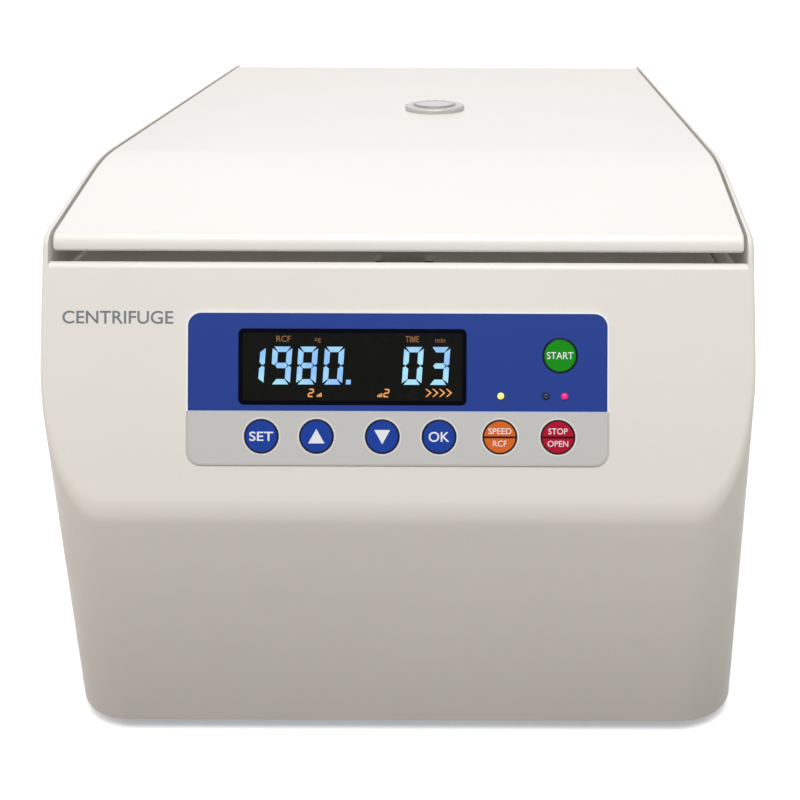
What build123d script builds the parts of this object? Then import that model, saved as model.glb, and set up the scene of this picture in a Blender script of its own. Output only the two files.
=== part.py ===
from build123d import *
import math
import os

os.makedirs("parts", exist_ok=True)

# Benchtop laboratory centrifuge. Millimetres. +Z up, -Y is the operator's side.
# Origin: centre of the footprint, on the plane the rubber feet stand on.

# ---------------------------------------------------------------- driving dimensions
WIDTH = 348.0            # moulded case at its lower rim
DEPTH = 520.0
RIM_Z = 7.0              # lower rim above the bench
DRAFT = 1.0              # mould draft of the case walls, degrees
R_FRONT = 33.0           # upright front corners
R_REAR = 10.0            # upright rear corners
WALL = 3.0

LID_TOP = 268.0          # flat rear part of the lid
SLOPE_START = -97.0      # the lid starts to fall away here
SLOPE_DEG = 12.4
SLOPE_R = 177.0
LID_FRONT = -204.4       # upright front lip of the lid
LIP_Z = 241.0            # lower edge of the lid
LID_HALF = 165.5
GAP_SIDE = 1.2

P2_Y, P2_Z = -209.8, 236.5   # upper edge of the control face
TILT = 24.0                  # control face leans back from upright, degrees
RIM_IN = -206.0              # inner face of the front rim

DECK_Z = 228.0           # top of the deck under the lid
DECK_T = 3.0
POCKET_REAR = 253.0

CX, CY = 0.0, 36.0       # spindle
BOWL_R = 125.0
BOWL_T = 1.5
BOWL_FLOOR = 98.0
RING_R, RING_T = 134.0, 3.5

HINGE_Y, HINGE_Z, HINGE_R = 238.0, 254.0, 14.0
HINGE_X = 118.0
LID_OPEN = 75.0

WIN_X, WIN_Y = 7.0, 36.0
WIN_R = 19.5

ROTOR_BOTTOM = 114.0
TUBE_ANGLE = 45.0
TUBE_COUNT = 8
TUBE_R = 8.4             # 10 ml tube
TUBE_L = 100.0
R_MAX = 110.7            # 1980 x g at 4000 rpm
ROTOR_R = 116.0

PANEL_W, PANEL_H, PANEL_T = 199.6, 71.8, 0.5
PANEL_V = -58.9
DISP_W, DISP_H, DISP_U, DISP_V = 108.6, 36.4, -21.5, -48.7
KEY_R = 8.1
KEY_V = -81.8
KEYS = {
    "button_set": (-64.7, KEY_V),
    "button_up": (-38.5, KEY_V),
    "button_down": (-7.2, KEY_V),
    "button_ok": (19.8, KEY_V),
    "button_speed_rcf": (48.7, KEY_V),
    "button_stop_open": (76.3, KEY_V),
    "button_start": (77.2, -43.0),
}
LEDS = [(49.1, -62.3), (70.5, -62.3), (79.4, -62.3)]

PLATE_Z0, PLATE_Z1 = 8.0, 10.5


# ---------------------------------------------------------------- helpers
def save(name, shape):
    if isinstance(shape, (list, tuple)):
        solids = [s for p in shape for s in p.solids()]
    else:
        solids = list(shape.solids())
    out = Compound(children=solids) if len(solids) > 1 else solids[0]
    out.label = name
    export_step(out, "parts/" + name + ".step")
    print(name, len(solids), round(sum(s.volume for s in solids)))


def box(x0, x1, y0, y1, z0, z1):
    return Pos((x0 + x1) / 2, (y0 + y1) / 2, (z0 + z1) / 2) * Box(
        abs(x1 - x0), abs(y1 - y0), abs(z1 - z0)
    )


def cyl(x, y, z0, z1, r):
    return Pos(x, y, (z0 + z1) / 2) * Cylinder(r, abs(z1 - z0))


def cyl_x(x0, x1, y, z, r):
    return Pos((x0 + x1) / 2, y, z) * Rot(0, 90, 0) * Cylinder(r, abs(x1 - x0))


def cyl_y(x, y0, y1, z, r):
    return Pos(x, (y0 + y1) / 2, z) * Rot(90, 0, 0) * Cylinder(r, abs(y1 - y0))


def turn(points, x=CX, y=CY):
    """Full revolution of an (r, z) outline about an upright axis."""
    face = make_face(Polyline(*[(r, 0, z) for r, z in points], close=True))
    return Pos(x, y, 0) * revolve(face, Axis.Z, 360)


def prism_x(points, x0, x1):
    """Outline in (y, z) drawn out along X."""
    face = make_face(Polyline(*[(0, y, z) for y, z in points], close=True))
    return Pos(x0, 0, 0) * extrude(face, amount=x1 - x0, dir=(1, 0, 0))


def soft(shape, edges, radius):
    """Fillet when the kernel can, otherwise leave the edge sharp."""
    try:
        got = fillet(edges, radius)
        if got.is_valid and abs(got.volume - shape.volume) < 0.3 * shape.volume:
            return got
    except Exception as error:
        print("fillet skipped", radius, type(error).__name__)
    return shape


def face_at(u, v, w=0.0):
    """Location on the control face: u along X, v up the face, w out of it."""
    return CONTROL.location * Pos(u, v, w)


def arc_points(cy, cz, r, a0, a1, n):
    return [
        (
            cy + r * math.cos(math.radians(a0 + (a1 - a0) * i / n)),
            cz + r * math.sin(math.radians(a0 + (a1 - a0) * i / n)),
        )
        for i in range(n + 1)
    ]


t = math.radians(TILT)
CONTROL = Plane(origin=(0, P2_Y, P2_Z), x_dir=(1, 0, 0), z_dir=(0, -math.cos(t), math.sin(t)))
sl = math.radians(SLOPE_DEG)
SLOPE_Y = SLOPE_START - SLOPE_R * math.sin(sl)
SLOPE_Z = LID_TOP - SLOPE_R * (1 - math.cos(sl))


def slope_z(y):
    return SLOPE_Z + (y - SLOPE_Y) * math.tan(sl)


def block(half_w, front, rear, r_front, r_rear, z0, z1, draft):
    """Drafted upright block with rounded corners."""
    with BuildSketch(Plane.XY.offset(z0)) as sk:
        with Locations((0, (front + rear) / 2)):
            Rectangle(2 * half_w, rear - front)
        fillet([v for v in sk.vertices() if v.Y < 0], r_front)
        fillet([v for v in sk.vertices() if v.Y > (front + rear) / 2], r_rear)
    return extrude(sk.sketch, amount=z1 - z0, taper=draft)


def outline(shift, r_nose, z_bottom, y_front, y_rear):
    """Side outline (y, z) of the case, moved inwards by shift."""
    top = LID_TOP - shift
    # control face line moved inwards
    dy, dz = shift * math.cos(t), -shift * math.sin(t)
    face_y = lambda z: (P2_Y + dy) - ((P2_Z + dz) - z) * math.tan(t)
    s0 = (SLOPE_START, top)
    rs = SLOPE_R - shift
    s1 = (SLOPE_START - rs * math.sin(sl), top - rs * (1 - math.cos(sl)))
    # slope line meets the control face line
    # z = s1z + (y - s1y) tan(sl);  y = a + z tan(t)
    a = (P2_Y + dy) - (P2_Z + dz) * math.tan(t)
    z = (s1[1] + (a - s1[0]) * math.tan(sl)) / (1 - math.tan(t) * math.tan(sl))
    y = a + z * math.tan(t)
    # rounded nose between slope and control face
    d1 = (math.cos(sl), math.sin(sl))            # back up the slope
    d2 = (-math.sin(t), -math.cos(t))            # down the control face
    turn_angle = math.pi - math.acos(d1[0] * d2[0] + d1[1] * d2[1])
    back = r_nose * math.tan(turn_angle / 2)
    n0 = (y + d1[0] * back, z + d1[1] * back)
    n1 = (y + d2[0] * back, z + d2[1] * back)
    bis = (d1[0] + d2[0], d1[1] + d2[1])
    length = math.hypot(*bis)
    dist = r_nose / math.cos(turn_angle / 2)
    c = (y + bis[0] / length * dist, z + bis[1] / length * dist)
    mid = (c[0] - bis[0] / length * r_nose, c[1] - bis[1] / length * r_nose)
    low = (a + z_bottom * math.tan(t), z_bottom)
    sag = math.radians(SLOPE_DEG / 2)
    sm = (SLOPE_START - rs * math.sin(sag), top - rs * (1 - math.cos(sag)))
    P = lambda q: (0, q[0], q[1])
    edges = [
        Line(P((y_rear, z_bottom)), P((y_rear, top))),
        Line(P((y_rear, top)), P(s0)),
        ThreePointArc(P(s0), P(sm), P(s1)),
        Line(P(s1), P(n0)),
        ThreePointArc(P(n0), P(mid), P(n1)),
        Line(P(n1), P(low)),
        Line(P(low), P((y_rear, z_bottom))),
    ]
    return make_face(Curve() + edges)


def case_solid(shift, nose):
    b = block(WIDTH / 2 - shift, -DEPTH / 2 + shift, DEPTH / 2 - shift, R_FRONT - shift, max(R_REAR - shift, 6.0),
              RIM_Z - (1 if shift else 0), 292, DRAFT)
    face = outline(shift, nose, RIM_Z - 40, None or -400, 320)
    p = Pos(-220, 0, 0) * extrude(face, amount=440, dir=(1, 0, 0))
    return b & p


# ================================================================ moulded case
outer = case_solid(0.0, 10.0)
rim_edges = [
    e for e in outer.edges()
    if e.center().Z > RIM_Z + 100 and e.center().Y < -100 and abs(e.center().Y) < 262
    and not (abs(e.center().X) < 1 and e.center().Z > 200)
]
soft_outer = outer
try:
    chain = []
    for e in outer.edges():
        c = e.center()
        bb = e.bounding_box()
        straight_x = bb.size.X > 300 and bb.size.Y < 0.5
        if c.Z > 100 and not (straight_x and c.Z > 150):
            if bb.size.Z > 100 and abs(c.Y) > 200 and bb.size.Y < 6:
                continue
            if abs(c.X) > 150 and bb.size.X < 8 or bb.size.X > 20 or (c.Z < 240 and c.Y < -200):
                if not (c.Y > 200 and bb.size.Z > 50):
                    chain.append(e)
    soft_outer = fillet(chain, 2.4)
    if not soft_outer.is_valid:
        raise ValueError("invalid")
    print("case fillet ok", len(chain))
except Exception as error:
    print("case fillet failed", error)
    soft_outer = outer

inner = case_solid(WALL, 8.0)
cavity = inner & box(-200, 200, -300, 300, 0, DECK_Z - DECK_T)
shell = soft_outer - cavity
# recess for the lid
shell -= box(-LID_HALF - GAP_SIDE, LID_HALF + GAP_SIDE, RIM_IN, POCKET_REAR, DECK_Z, 300)
# front rim drops below the lid's lip
shell -= box(-LID_HALF - GAP_SIDE, LID_HALF + GAP_SIDE, -260, RIM_IN + 1, P2_Z, 300)
# rear wall is lower than the side rails
shell -= box(-LID_HALF - GAP_SIDE, LID_HALF + GAP_SIDE, POCKET_REAR - 1, 300, 256.0, 300)
# chamber mouth
shell -= cyl(CX, CY, 200, 260, BOWL_R + BOWL_T + 1.5)
# striker slot
shell -= box(-15, 15, -188, -166, 200, 240)
rim_edge = [
    e for e in shell.edges()
    if abs(e.center().Z - P2_Z) < 0.3 and abs(e.center().Y - P2_Y) < 0.4 and e.bounding_box().size.X > 200
]
shell = soft(shell, rim_edge, 3.4)

# openings in the control face
shell -= face_at(DISP_U, DISP_V) * Box(DISP_W + 0.3, DISP_H + 0.3, 20)
for u, v in KEYS.values():
    shell -= face_at(u, v) * Cylinder(KEY_R + 0.35, 20)
for u, v in LEDS:
    shell -= face_at(u, v) * Cylinder(1.8, 20)

# rear opening and its four countersunk screw seats
REAR_X, REAR_Z0, REAR_Z1 = 120.0, 24.0, 122.0
with BuildSketch(Plane.XZ.offset(-300)) as sk:
    with Locations((0, (REAR_Z0 + REAR_Z1) / 2)):
        RectangleRounded(2 * REAR_X, REAR_Z1 - REAR_Z0, 6)
shell -= extrude(sk.sketch, amount=60)
REAR_SCREWS = [(-125, 40), (125, 40), (-125, 106), (125, 106)]
for x, z in REAR_SCREWS:
    shell -= cyl_y(x, 240, 262, z, 1.8)
    shell -= cyl_y(x, 257.2, 262, z, 3.2)

# corner posts that the base plate screws into
POSTS = [(-156, -222), (156, -222), (-160, 0), (160, 0), (-156, 236), (156, 236)]
for x, y in POSTS:
    side = 1 if x > 0 else -1
    post = cyl(x, y, PLATE_Z1, 46, 6)
    shell += post
    shell += box(x, side * 170.5, y - 3, y + 3, PLATE_Z1, 46)
    shell -= cyl(x, y, 0, 30, 1.6)
# holes for the hinge screws
for sx in (-1, 1):
    for dx in (-11, 11):
        for y in (220, 240):
            shell -= cyl(sx * HINGE_X + dx, y, 215, 240, 2.05)
# two stiffening ribs under the deck
for x in (-150, 150):
    shell += box(x - 1.5, x + 1.5, -200, 240, DECK_Z - 16, DECK_Z - DECK_T + 0.5)
# thin strip moulded on the deck near the right front corner, beside the lid's lip
shell += prism_x([(RIM_IN - 0.5, 227.5), (-160, 227.5), (-160, 229.4), (RIM_IN - 0.5, 229.4)], 157.0, 158.4)
save("body_shell", shell)

# ================================================================ base
base = block(WIDTH / 2 - 3.6, -DEPTH / 2 + 3.6, DEPTH / 2 - 3.6, R_FRONT - 3.6, 6.4, PLATE_Z0, PLATE_Z1, 0)
for x, y in POSTS:
    base -= cyl(x, y, 0, 20, 2.1)
for i in range(9):
    y = CY - 40 + i * 10
    base -= box(-32, 32, y - 2, y + 2, 0, 20)
FEET = [(-138, -205), (138, -205), (-138, 212), (138, 212)]
for x, y in FEET:
    base -= cyl(x, y, 0, 20, 2.6)
save("base_plate", base)

feet, foot_screws, base_screws = [], [], []
for x, y in FEET:
    feet.append(turn([(5.2, 0.0), (15.5, 0.0), (17.0, 1.5), (19.0, 8.0), (2.6, 8.0), (2.6, 4.5), (5.2, 4.5)], x, y))
    foot_screws.append(turn([(0, 1.2), (4.6, 1.2), (4.6, 4.4), (2.45, 4.4), (2.45, 14.0), (0, 14.0)], x, y))
    foot_screws.append(Pos(x, y, 0) * (Pos(0, 0, 12.6) * (extrude(RegularPolygon(4.6, 6), 4.0 / 2, both=True)) - Pos(0, 0, 12) * Cylinder(2.5, 12)))
save("rubber_feet", feet)
save("foot_screws", foot_screws)
for x, y in POSTS:
    base_screws.append(turn([(0, 5.6), (3.6, 5.6), (3.6, 8.0), (1.55, 8.0), (1.55, 26.0), (0, 26.0)], x, y))

# ================================================================ chamber
B = BOWL_R
bowl = turn([
    (22, BOWL_FLOOR), (B - 10.5, BOWL_FLOOR), (B - 3.0, BOWL_FLOOR + 3.2), (B + BOWL_T, BOWL_FLOOR + 12),
    (B + BOWL_T, DECK_Z + 0.0), (B + 15, DECK_Z), (B + 15, DECK_Z + 1.2), (B, DECK_Z + 1.2),
    (B, BOWL_FLOOR + 12.5), (B - 4.0, BOWL_FLOOR + 4.7), (B - 10.8, BOWL_FLOOR + BOWL_T), (22, BOWL_FLOOR + BOWL_T),
])
save("chamber_bowl", bowl)
seal = turn([
    (B + 2.0, DECK_Z + 1.2), (B + 14, DECK_Z + 1.2), (B + 14, DECK_Z + 4.5), (B + 11.5, DECK_Z + 6.0),
    (B + 9.5, DECK_Z + 11.2), (B + 7.5, DECK_Z + 12.6), (B + 5.2, DECK_Z + 11.2), (B + 4.2, DECK_Z + 6.0), (B + 2.0, DECK_Z + 4.5),
])
save("chamber_seal", seal)
ring = cyl(CX, CY, PLATE_Z1, 222, RING_R + RING_T) - cyl(CX, CY, 0, 300, RING_R)
for a in (45, 135, 225, 315):
    ring -= Pos(CX, CY, 40) * Rot(0, 0, a) * Pos(RING_R, 0, 0) * Box(30, 60, 40)
save("armour_ring", ring)
boot = turn([
    (16.6, 92.4), (27.0, 92.4), (27.0, 94.6), (24.0, 96.0), (21.8, 97.6), (21.8, 100.4), (23.8, 100.4), (23.8, 102.4), (20.0, 104.4), (16.6, 104.4),
])
save("shaft_boot", boot)

# ================================================================ drive
mplate = cyl(CX, CY, 34, 38, 124)
mplate -= cyl(CX, CY, 0, 60, 16)
MOUNTS = [(CX + 92 * math.cos(math.radians(a)), CY + 92 * math.sin(math.radians(a))) for a in (45, 135, 225, 315)]
for x, y in MOUNTS:
    mplate -= cyl(x, y, 0, 60, 3.3)
for i in range(8):
    a = math.radians(22.5 + 45 * i)
    mplate -= cyl(CX + 108 * math.cos(a), CY + 108 * math.sin(a), 0, 60, 7)
save("motor_plate", mplate)
save("rubber_mounts", [turn([(0, PLATE_Z1), (14, PLATE_Z1), (15, 12.5), (12.5, 22.2), (15, 32), (14, 34), (3.25, 34), (3.25, 38), (6.0, 38), (6.0, 41.5), (4.5, 43.0), (0, 43.0)], x, y) for x, y in MOUNTS])
MR = 65.0
housing = cyl(CX, CY, 44, 84, MR) - cyl(CX, CY, 0, 100, MR - 4)
for i in range(24):
    a = 15 * i
    housing -= Pos(CX, CY, 64) * Rot(0, 0, a) * Pos(MR + 1.2, 0, 0) * Box(6, 6, 34)
save("motor_housing", housing)
cap_low = turn([(20, 38), (MR + 3, 38), (MR + 3, 44), (MR - 4.2, 44), (MR - 4.2, 46.5), (28, 46.5), (26, 52), (17.5, 52), (17.5, 41), (20, 41)])
cap_up = turn([(14, 92.4), (MR - 6, 92.4), (MR, 89.5), (MR, 84), (MR - 4.2, 84), (MR - 4.2, 81.5), (28, 81.5), (26, 78.5), (17.5, 78.5), (17.5, 90.0), (14, 90.0)])
save("motor_end_caps", [cap_low, cap_up])
stator = cyl(CX, CY, 53.5, 76.5, MR - 4.2) - cyl(CX, CY, 40, 90, 36)
for i in range(12):
    stator -= Pos(CX, CY, 65) * Rot(0, 0, 30 * i) * Pos(46, 0, 0) * Box(14, 7, 30)
coils = []
for i in range(12):
    coils.append(Pos(CX, CY, 65) * Rot(0, 0, 30 * i) * Pos(46.2, 0, 0) * Box(12.6, 6.2, 23.6))
save("motor_stator", [stator] + coils)
armature = cyl(CX, CY, 54, 76, 35.3) - cyl(CX, CY, 40, 90, 7.5)
save("motor_armature", armature)
bearing = lambda z0, z1: turn([(7.53, z0), (17.5, z0), (17.5, z1), (7.53, z1)])
save("motor_bearings", [bearing(41, 52), bearing(79, 90)])
shaft = turn([
    (0, 40.5), (7.5, 40.5), (7.5, 106), (15, 110.5), (15, ROTOR_BOTTOM), (6.0, ROTOR_BOTTOM), (6.0, 178), (5.0, 178), (5.0, 191), (4.2, 192.0), (0, 192.0),
])
save("motor_shaft", shaft)

# ================================================================ rotor
ta = math.radians(TUBE_ANGLE)
RC = R_MAX - TUBE_R            # centre of the rounded tube end
ZC = ROTOR_BOTTOM + 14.0
rotor = turn([
    (6.04, ROTOR_BOTTOM), (34, ROTOR_BOTTOM), (34, 160), (40, 164), (84, 123), (84, ROTOR_BOTTOM), (106, ROTOR_BOTTOM),
    (ROTOR_R, 124), (ROTOR_R, 132), (70, 178), (68, 179.4), (30, 179.4), (28, 178), (6.04, 178),
], 0, 0)


def along(i, solid):
    """Place a piece drawn on +Z from the tube's end centre into pocket i."""
    return Pos(CX, CY, 0) * Rot(0, 0, 360 / TUBE_COUNT * i + 22.5) * Pos(RC, 0, ZC) * Rot(0, -TUBE_ANGLE, 0) * solid


pockets = []
for i in range(TUBE_COUNT):
    pk = Sphere(10.25) + Pos(0, 0, 60) * Cylinder(10.25, 120)
    pockets.append(along(i, pk))
rotor = Pos(CX, CY, 0) * rotor
for pk in pockets:
    rotor -= pk
save("rotor_body", rotor)


def rod_r(outline_pts):
    face = make_face(Polyline(*[(r, 0, z) for r, z in outline_pts], close=True))
    return revolve(face, Axis.Z, 360)


def half_ball(r, n=8):
    return [(r * math.sin(math.radians(90 * k / n)), -r * math.cos(math.radians(90 * k / n))) for k in range(n + 1)]


sleeve_prof = half_ball(10.0) + [(10.0, 84.0), (11.2, 84.0), (11.2, 86.0), (8.75, 86.0)] + list(reversed(half_ball(8.75)))
sleeve = rod_r(sleeve_prof)
tube_prof = half_ball(TUBE_R) + [(TUBE_R, 88.0), (7.4, 88.0)] + list(reversed(half_ball(7.4)))
tube = rod_r(tube_prof)
liquid_prof = half_ball(7.3) + [(7.3, 46.0), (0, 46.0)]
cap_prof = [(0, 90.2), (7.2, 90.2), (7.2, 88.4), (8.6, 88.4), (8.6, 82.0 + 5.0), (9.6, 87.0), (9.6, 100.5), (8.8, 101.5), (0, 101.5)]
tcap = rod_r(cap_prof)
save("tube_sleeves", [along(i, sleeve) for i in range(TUBE_COUNT)])
save("sample_tubes", [along(i, tube) for i in range(TUBE_COUNT)])
save("tube_caps", [along(i, tcap) for i in range(TUBE_COUNT)])

nut = turn([(5.04, 178), (13, 178), (14, 179.4), (17.5, 182), (17.5, 193), (16.0, 195.5), (0, 195.5), (0, 193.5), (5.04, 193.5)])
for i in range(12):
    nut -= Pos(CX, CY, 190) * Rot(0, 0, 30 * i) * Pos(18.7, 0, 0) * Cylinder(2.2, 20)
save("rotor_nut", nut)

# ================================================================ lid
def lid_outline(shift, z_low, front, rear_r):
    top = LID_TOP - shift
    rs = SLOPE_R - shift
    s0 = (SLOPE_START, top)
    s1 = (SLOPE_START - rs * math.sin(sl), top - rs * (1 - math.cos(sl)))
    r = 8.0 - shift if shift else 8.0
    # rounded lip between slope and upright front
    zc_line = lambda y: s1[1] + (y - s1[0]) * math.tan(sl)
    yt = front + r * (1 - math.sin(sl))
    zt = zc_line(yt)
    cz = zt - r * math.cos(sl)
    cyy = front + r
    am = math.radians((180 + 90 + SLOPE_DEG) / 2)
    mid = (cyy + r * math.cos(am), cz + r * math.sin(am))
    n1 = (front, cz)
    sag = math.radians(SLOPE_DEG / 2)
    sm = (SLOPE_START - rs * math.sin(sag), top - rs * (1 - math.cos(sag)))
    hm = (HINGE_Y + rear_r * math.cos(math.radians(45)), HINGE_Z + rear_r * math.sin(math.radians(45)))
    hm2 = (HINGE_Y + rear_r * math.cos(math.radians(-45)), HINGE_Z + rear_r * math.sin(math.radians(-45)))
    P = lambda q: (0, q[0], q[1])
    low_rear = (HINGE_Y, HINGE_Z - rear_r)
    edges = [
        ThreePointArc(P(low_rear), P(hm2), P((HINGE_Y + rear_r, HINGE_Z))),
        ThreePointArc(P((HINGE_Y + rear_r, HINGE_Z)), P(hm), P((HINGE_Y, top))),
        Line(P((HINGE_Y, top)), P(s0)),
        ThreePointArc(P(s0), P(sm), P(s1)),
        Line(P(s1), P((yt, zt))),
        ThreePointArc(P((yt, zt)), P(mid), P(n1)),
    ]
    if shift:
        edges += [Line(P(n1), P((front, z_low))), Line(P((front, z_low)), P((HINGE_Y, z_low))), Line(P((HINGE_Y, z_low)), P(low_rear))]
    else:
        edges += [Line(P(n1), P((front, z_low))), Line(P((front, z_low)), P((HINGE_Y - 12, z_low))), Line(P((HINGE_Y - 12, z_low)), P(low_rear))]
    return make_face(Curve() + edges)


lid_out = Pos(-LID_HALF, 0, 0) * extrude(lid_outline(0.0, LIP_Z, LID_FRONT, HINGE_R), amount=2 * LID_HALF, dir=(1, 0, 0))
lid_edges = [
    e for e in lid_out.edges()
    if (abs(abs(e.center().X) - LID_HALF) < 0.1 and e.center().Z > LIP_Z + 0.5 and e.center().Y < HINGE_Y)
    or (abs(e.center().X) < 1 and abs(e.center().Y - LID_FRONT) < 0.3 and e.center().Z < LIP_Z + 1)
]
lid_out = soft(lid_out, lid_edges, 1.5)
lid_in = Pos(-(LID_HALF - 3), 0, 0) * extrude(lid_outline(3.0, LIP_Z - 5, LID_FRONT + 3, HINGE_R - 3), amount=2 * (LID_HALF - 3), dir=(1, 0, 0))
lid = lid_out - lid_in
LID_SCREWS = [(-154, -172), (154, -172), (-60, -172), (60, -172), (-154, -60), (154, -60), (-154, 90), (154, 90), (-150, 206), (150, 206), (0, 206)]
for x, y in LID_SCREWS:
    top = 265.2 if y > -110 else slope_z(y + 4.5) - 2.6
    lid += cyl(x, y, 243.2, top, 4.5)
    lid -= cyl(x, y, 230, 250, 1.6)
for x in (-75, 75):
    lid += box(x - 1.2, x + 1.2, -120, 200, 257, 265.2)
lid -= cyl(WIN_X, WIN_Y, 255, 290, 15.2)
for sx in (-1, 1):
    # notch the hinge ear passes through as the lid swings up
    lid -= prism_x([(HINGE_Y, HINGE_Z)] + arc_points(HINGE_Y, HINGE_Z, 22, -120, 32, 12), sx * HINGE_X - 6.0, sx * HINGE_X + 6.0)
save("lid_cover", lid)

plate = box(-161.8, 161.8, -200.6, 220, LIP_Z + 0.5, LIP_Z + 2.0)
plate = soft(plate, plate.edges().filter_by(Axis.Z), 3.0)
plate -= cyl(WIN_X, WIN_Y, 230, 260, 16.0)
for x, y in LID_SCREWS:
    plate -= cyl(x, y, 230, 260, 2.1)
# pressed stiffening rings that stand up into the lid
plate += turn([(96, LIP_Z + 1.9), (98, LIP_Z + 4.5), (106, LIP_Z + 4.5), (108, LIP_Z + 1.9)])
plate -= turn([(98.2, LIP_Z + 0.4), (99.4, LIP_Z + 3.0), (104.6, LIP_Z + 3.0), (105.8, LIP_Z + 0.4)])
save("lid_inner_plate", plate)
save("lid_screws", [turn([(0, 239.4), (3.2, 239.4), (3.8, 240.2), (3.8, 241.5), (1.55, 241.5), (1.55, 248.5), (0, 248.5)], x, y) for x, y in LID_SCREWS])

# sight glass: clear flanged dome, sleeve through the hollow lid, lower pane
dome = []
for k in range(0, 9):
    a = math.radians(90 * k / 8)
    dome.append((13.6 * math.sin(a), 271.3 + 1.6 * math.cos(a)))
lens = turn([(0, 263.0), (15.0, 263.0), (15.0, LID_TOP), (WIN_R, LID_TOP), (WIN_R, LID_TOP + 2.2), (WIN_R - 0.4, LID_TOP + 2.8), (WIN_R - 1.2, LID_TOP + 3.1), (14.4, LID_TOP + 3.1)] + list(reversed(dome)), WIN_X, WIN_Y)
save("window_lens", lens)
save("window_sleeve", turn([(13.2, LIP_Z + 2.0), (19.0, LIP_Z + 2.0), (19.0, LIP_Z + 3.5), (15.0, LIP_Z + 3.5), (15.0, 263.0), (13.2, 263.0)], WIN_X, WIN_Y))
save("window_pane", turn([(0, LIP_Z - 0.6), (15.8, LIP_Z - 0.6), (15.8, LIP_Z + 2.0), (0, LIP_Z + 2.0)], WIN_X, WIN_Y))

# ================================================================ hinges
brackets, leaves, pins, washers, hscrews = [], [], [], [], []
for sx in (-1, 1):
    hx = sx * HINGE_X
    ear = box(hx - 3, hx + 3, HINGE_Y - 7, HINGE_Y + 7, DECK_Z + 2, HINGE_Z) + cyl_x(hx - 3, hx + 3, HINGE_Y, HINGE_Z, 7)
    foot = box(hx - 16, hx + 16, 214, 246, DECK_Z, DECK_Z + 3)
    gusset = prism_x([(216, DECK_Z + 3), (HINGE_Y - 6, DECK_Z + 3), (HINGE_Y - 6, DECK_Z + 9)], hx - 3, hx + 3)
    br = ear + foot + gusset - cyl_x(hx - 9, hx + 9, HINGE_Y, HINGE_Z, 3.05)
    for dx in (-11, 11):
        for y in (220, 240):
            br -= cyl(hx + dx, y, 220, 240, 2.2)
            hscrews.append(turn([(0, 224.0), (2.0, 224.0), (2.0, 231.0), (3.8, 231.0), (3.8, 232.4), (2.8, 233.2), (0, 233.2)], hx + dx, y))
    brackets.append(br)
    for s2 in (-1, 1):
        e0, e1 = sorted((hx + s2 * 4.0, hx + s2 * 7.0))
        lf = cyl_x(e0, e1, HINGE_Y, HINGE_Z, 7)
        lf += prism_x([(HINGE_Y - 7, HINGE_Z - 2), (HINGE_Y, HINGE_Z - 7), (HINGE_Y, HINGE_Z + 7), (HINGE_Y - 4, HINGE_Z + 6), (206, 252), (196, LIP_Z + 4.5), (217, LIP_Z + 4.5), (222, LIP_Z + 6)], e0, e1)
        leaves.append((lf, sx, s2))
    pins.append(cyl_x(hx - 8.6, hx + 8.6, HINGE_Y, HINGE_Z, 3.0) + cyl_x(hx - 10.4, hx - 8.6, HINGE_Y, HINGE_Z, 5.0))
    for s2 in (-1, 1):
        w0, w1 = sorted((hx + s2 * 3.1, hx + s2 * 3.9))
        washers.append(cyl_x(w0, w1, HINGE_Y, HINGE_Z, 6.5) - cyl_x(w0 - 1, w1 + 1, HINGE_Y, HINGE_Z, 3.05))
leaf_solids = []
for sx in (-1, 1):
    hx = sx * HINGE_X
    body = box(hx - 18, hx + 18, 194, 219, LIP_Z + 2.0, LIP_Z + 4.6)
    for lf, s, _ in leaves:
        if s == sx:
            body += lf
    body -= cyl_x(hx - 30, hx + 30, HINGE_Y, HINGE_Z, 3.0)
    leaf_solids.append(body)
for i, p in enumerate(pins):
    pass
save("hinge_brackets", brackets)
save("hinge_leaves", leaf_solids)
save("hinge_pins", pins + washers)
# screws pass the deck; their holes
save("hinge_screws", hscrews)

# ================================================================ lid lock
LY, LZ = -160.0, 182.0        # hook pivot
striker = box(-11, 11, -177.25, -174.75, 200, LIP_Z - 1.0) - box(-6, 6, -180, -170, 209.5, 223)
striker += box(-16, 16, -184, -168, LIP_Z - 0.9, LIP_Z + 0.5)
striker = soft(striker, [e for e in striker.edges() if abs(e.center().Z - 200) < 0.1 and abs(e.center().X) > 10.9], 0.8)
save("lid_striker", striker)

cheeks = box(-21, -19, -188, -104, 148, 225) + box(19, 21, -188, -104, 148, 225) + box(-21, 21, -188, -104, 146, 148)
cheeks += box(-32, -19, -188, -104, 223, 225) + box(19, 32, -188, -104, 223, 225)
cheeks -= cyl_x(-30, 30, LY, LZ, 3.0)
save("lock_bracket", cheeks)
hook = prism_x([(-165, 176), (-155, 176), (-155, 217), (-181, 217), (-181, 213.5), (-178.5, 211.2), (-165, 211.2)], -2, 2)
hook += cyl_x(-2, 2, LY, LZ, 7)
hook += box(-2, 2, LY - 4.5, LY + 4.5, LZ - 27, LZ)
hook += cyl_x(-6, 6, LY, LZ, 5.5)
hook -= cyl_x(-10, 10, LY, LZ, 3.05)
hook -= box(-5, 5, LY - 2.05, LY + 2.05, LZ - 24.5, LZ - 16.5)
HOOK_SWING = 18.0
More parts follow.
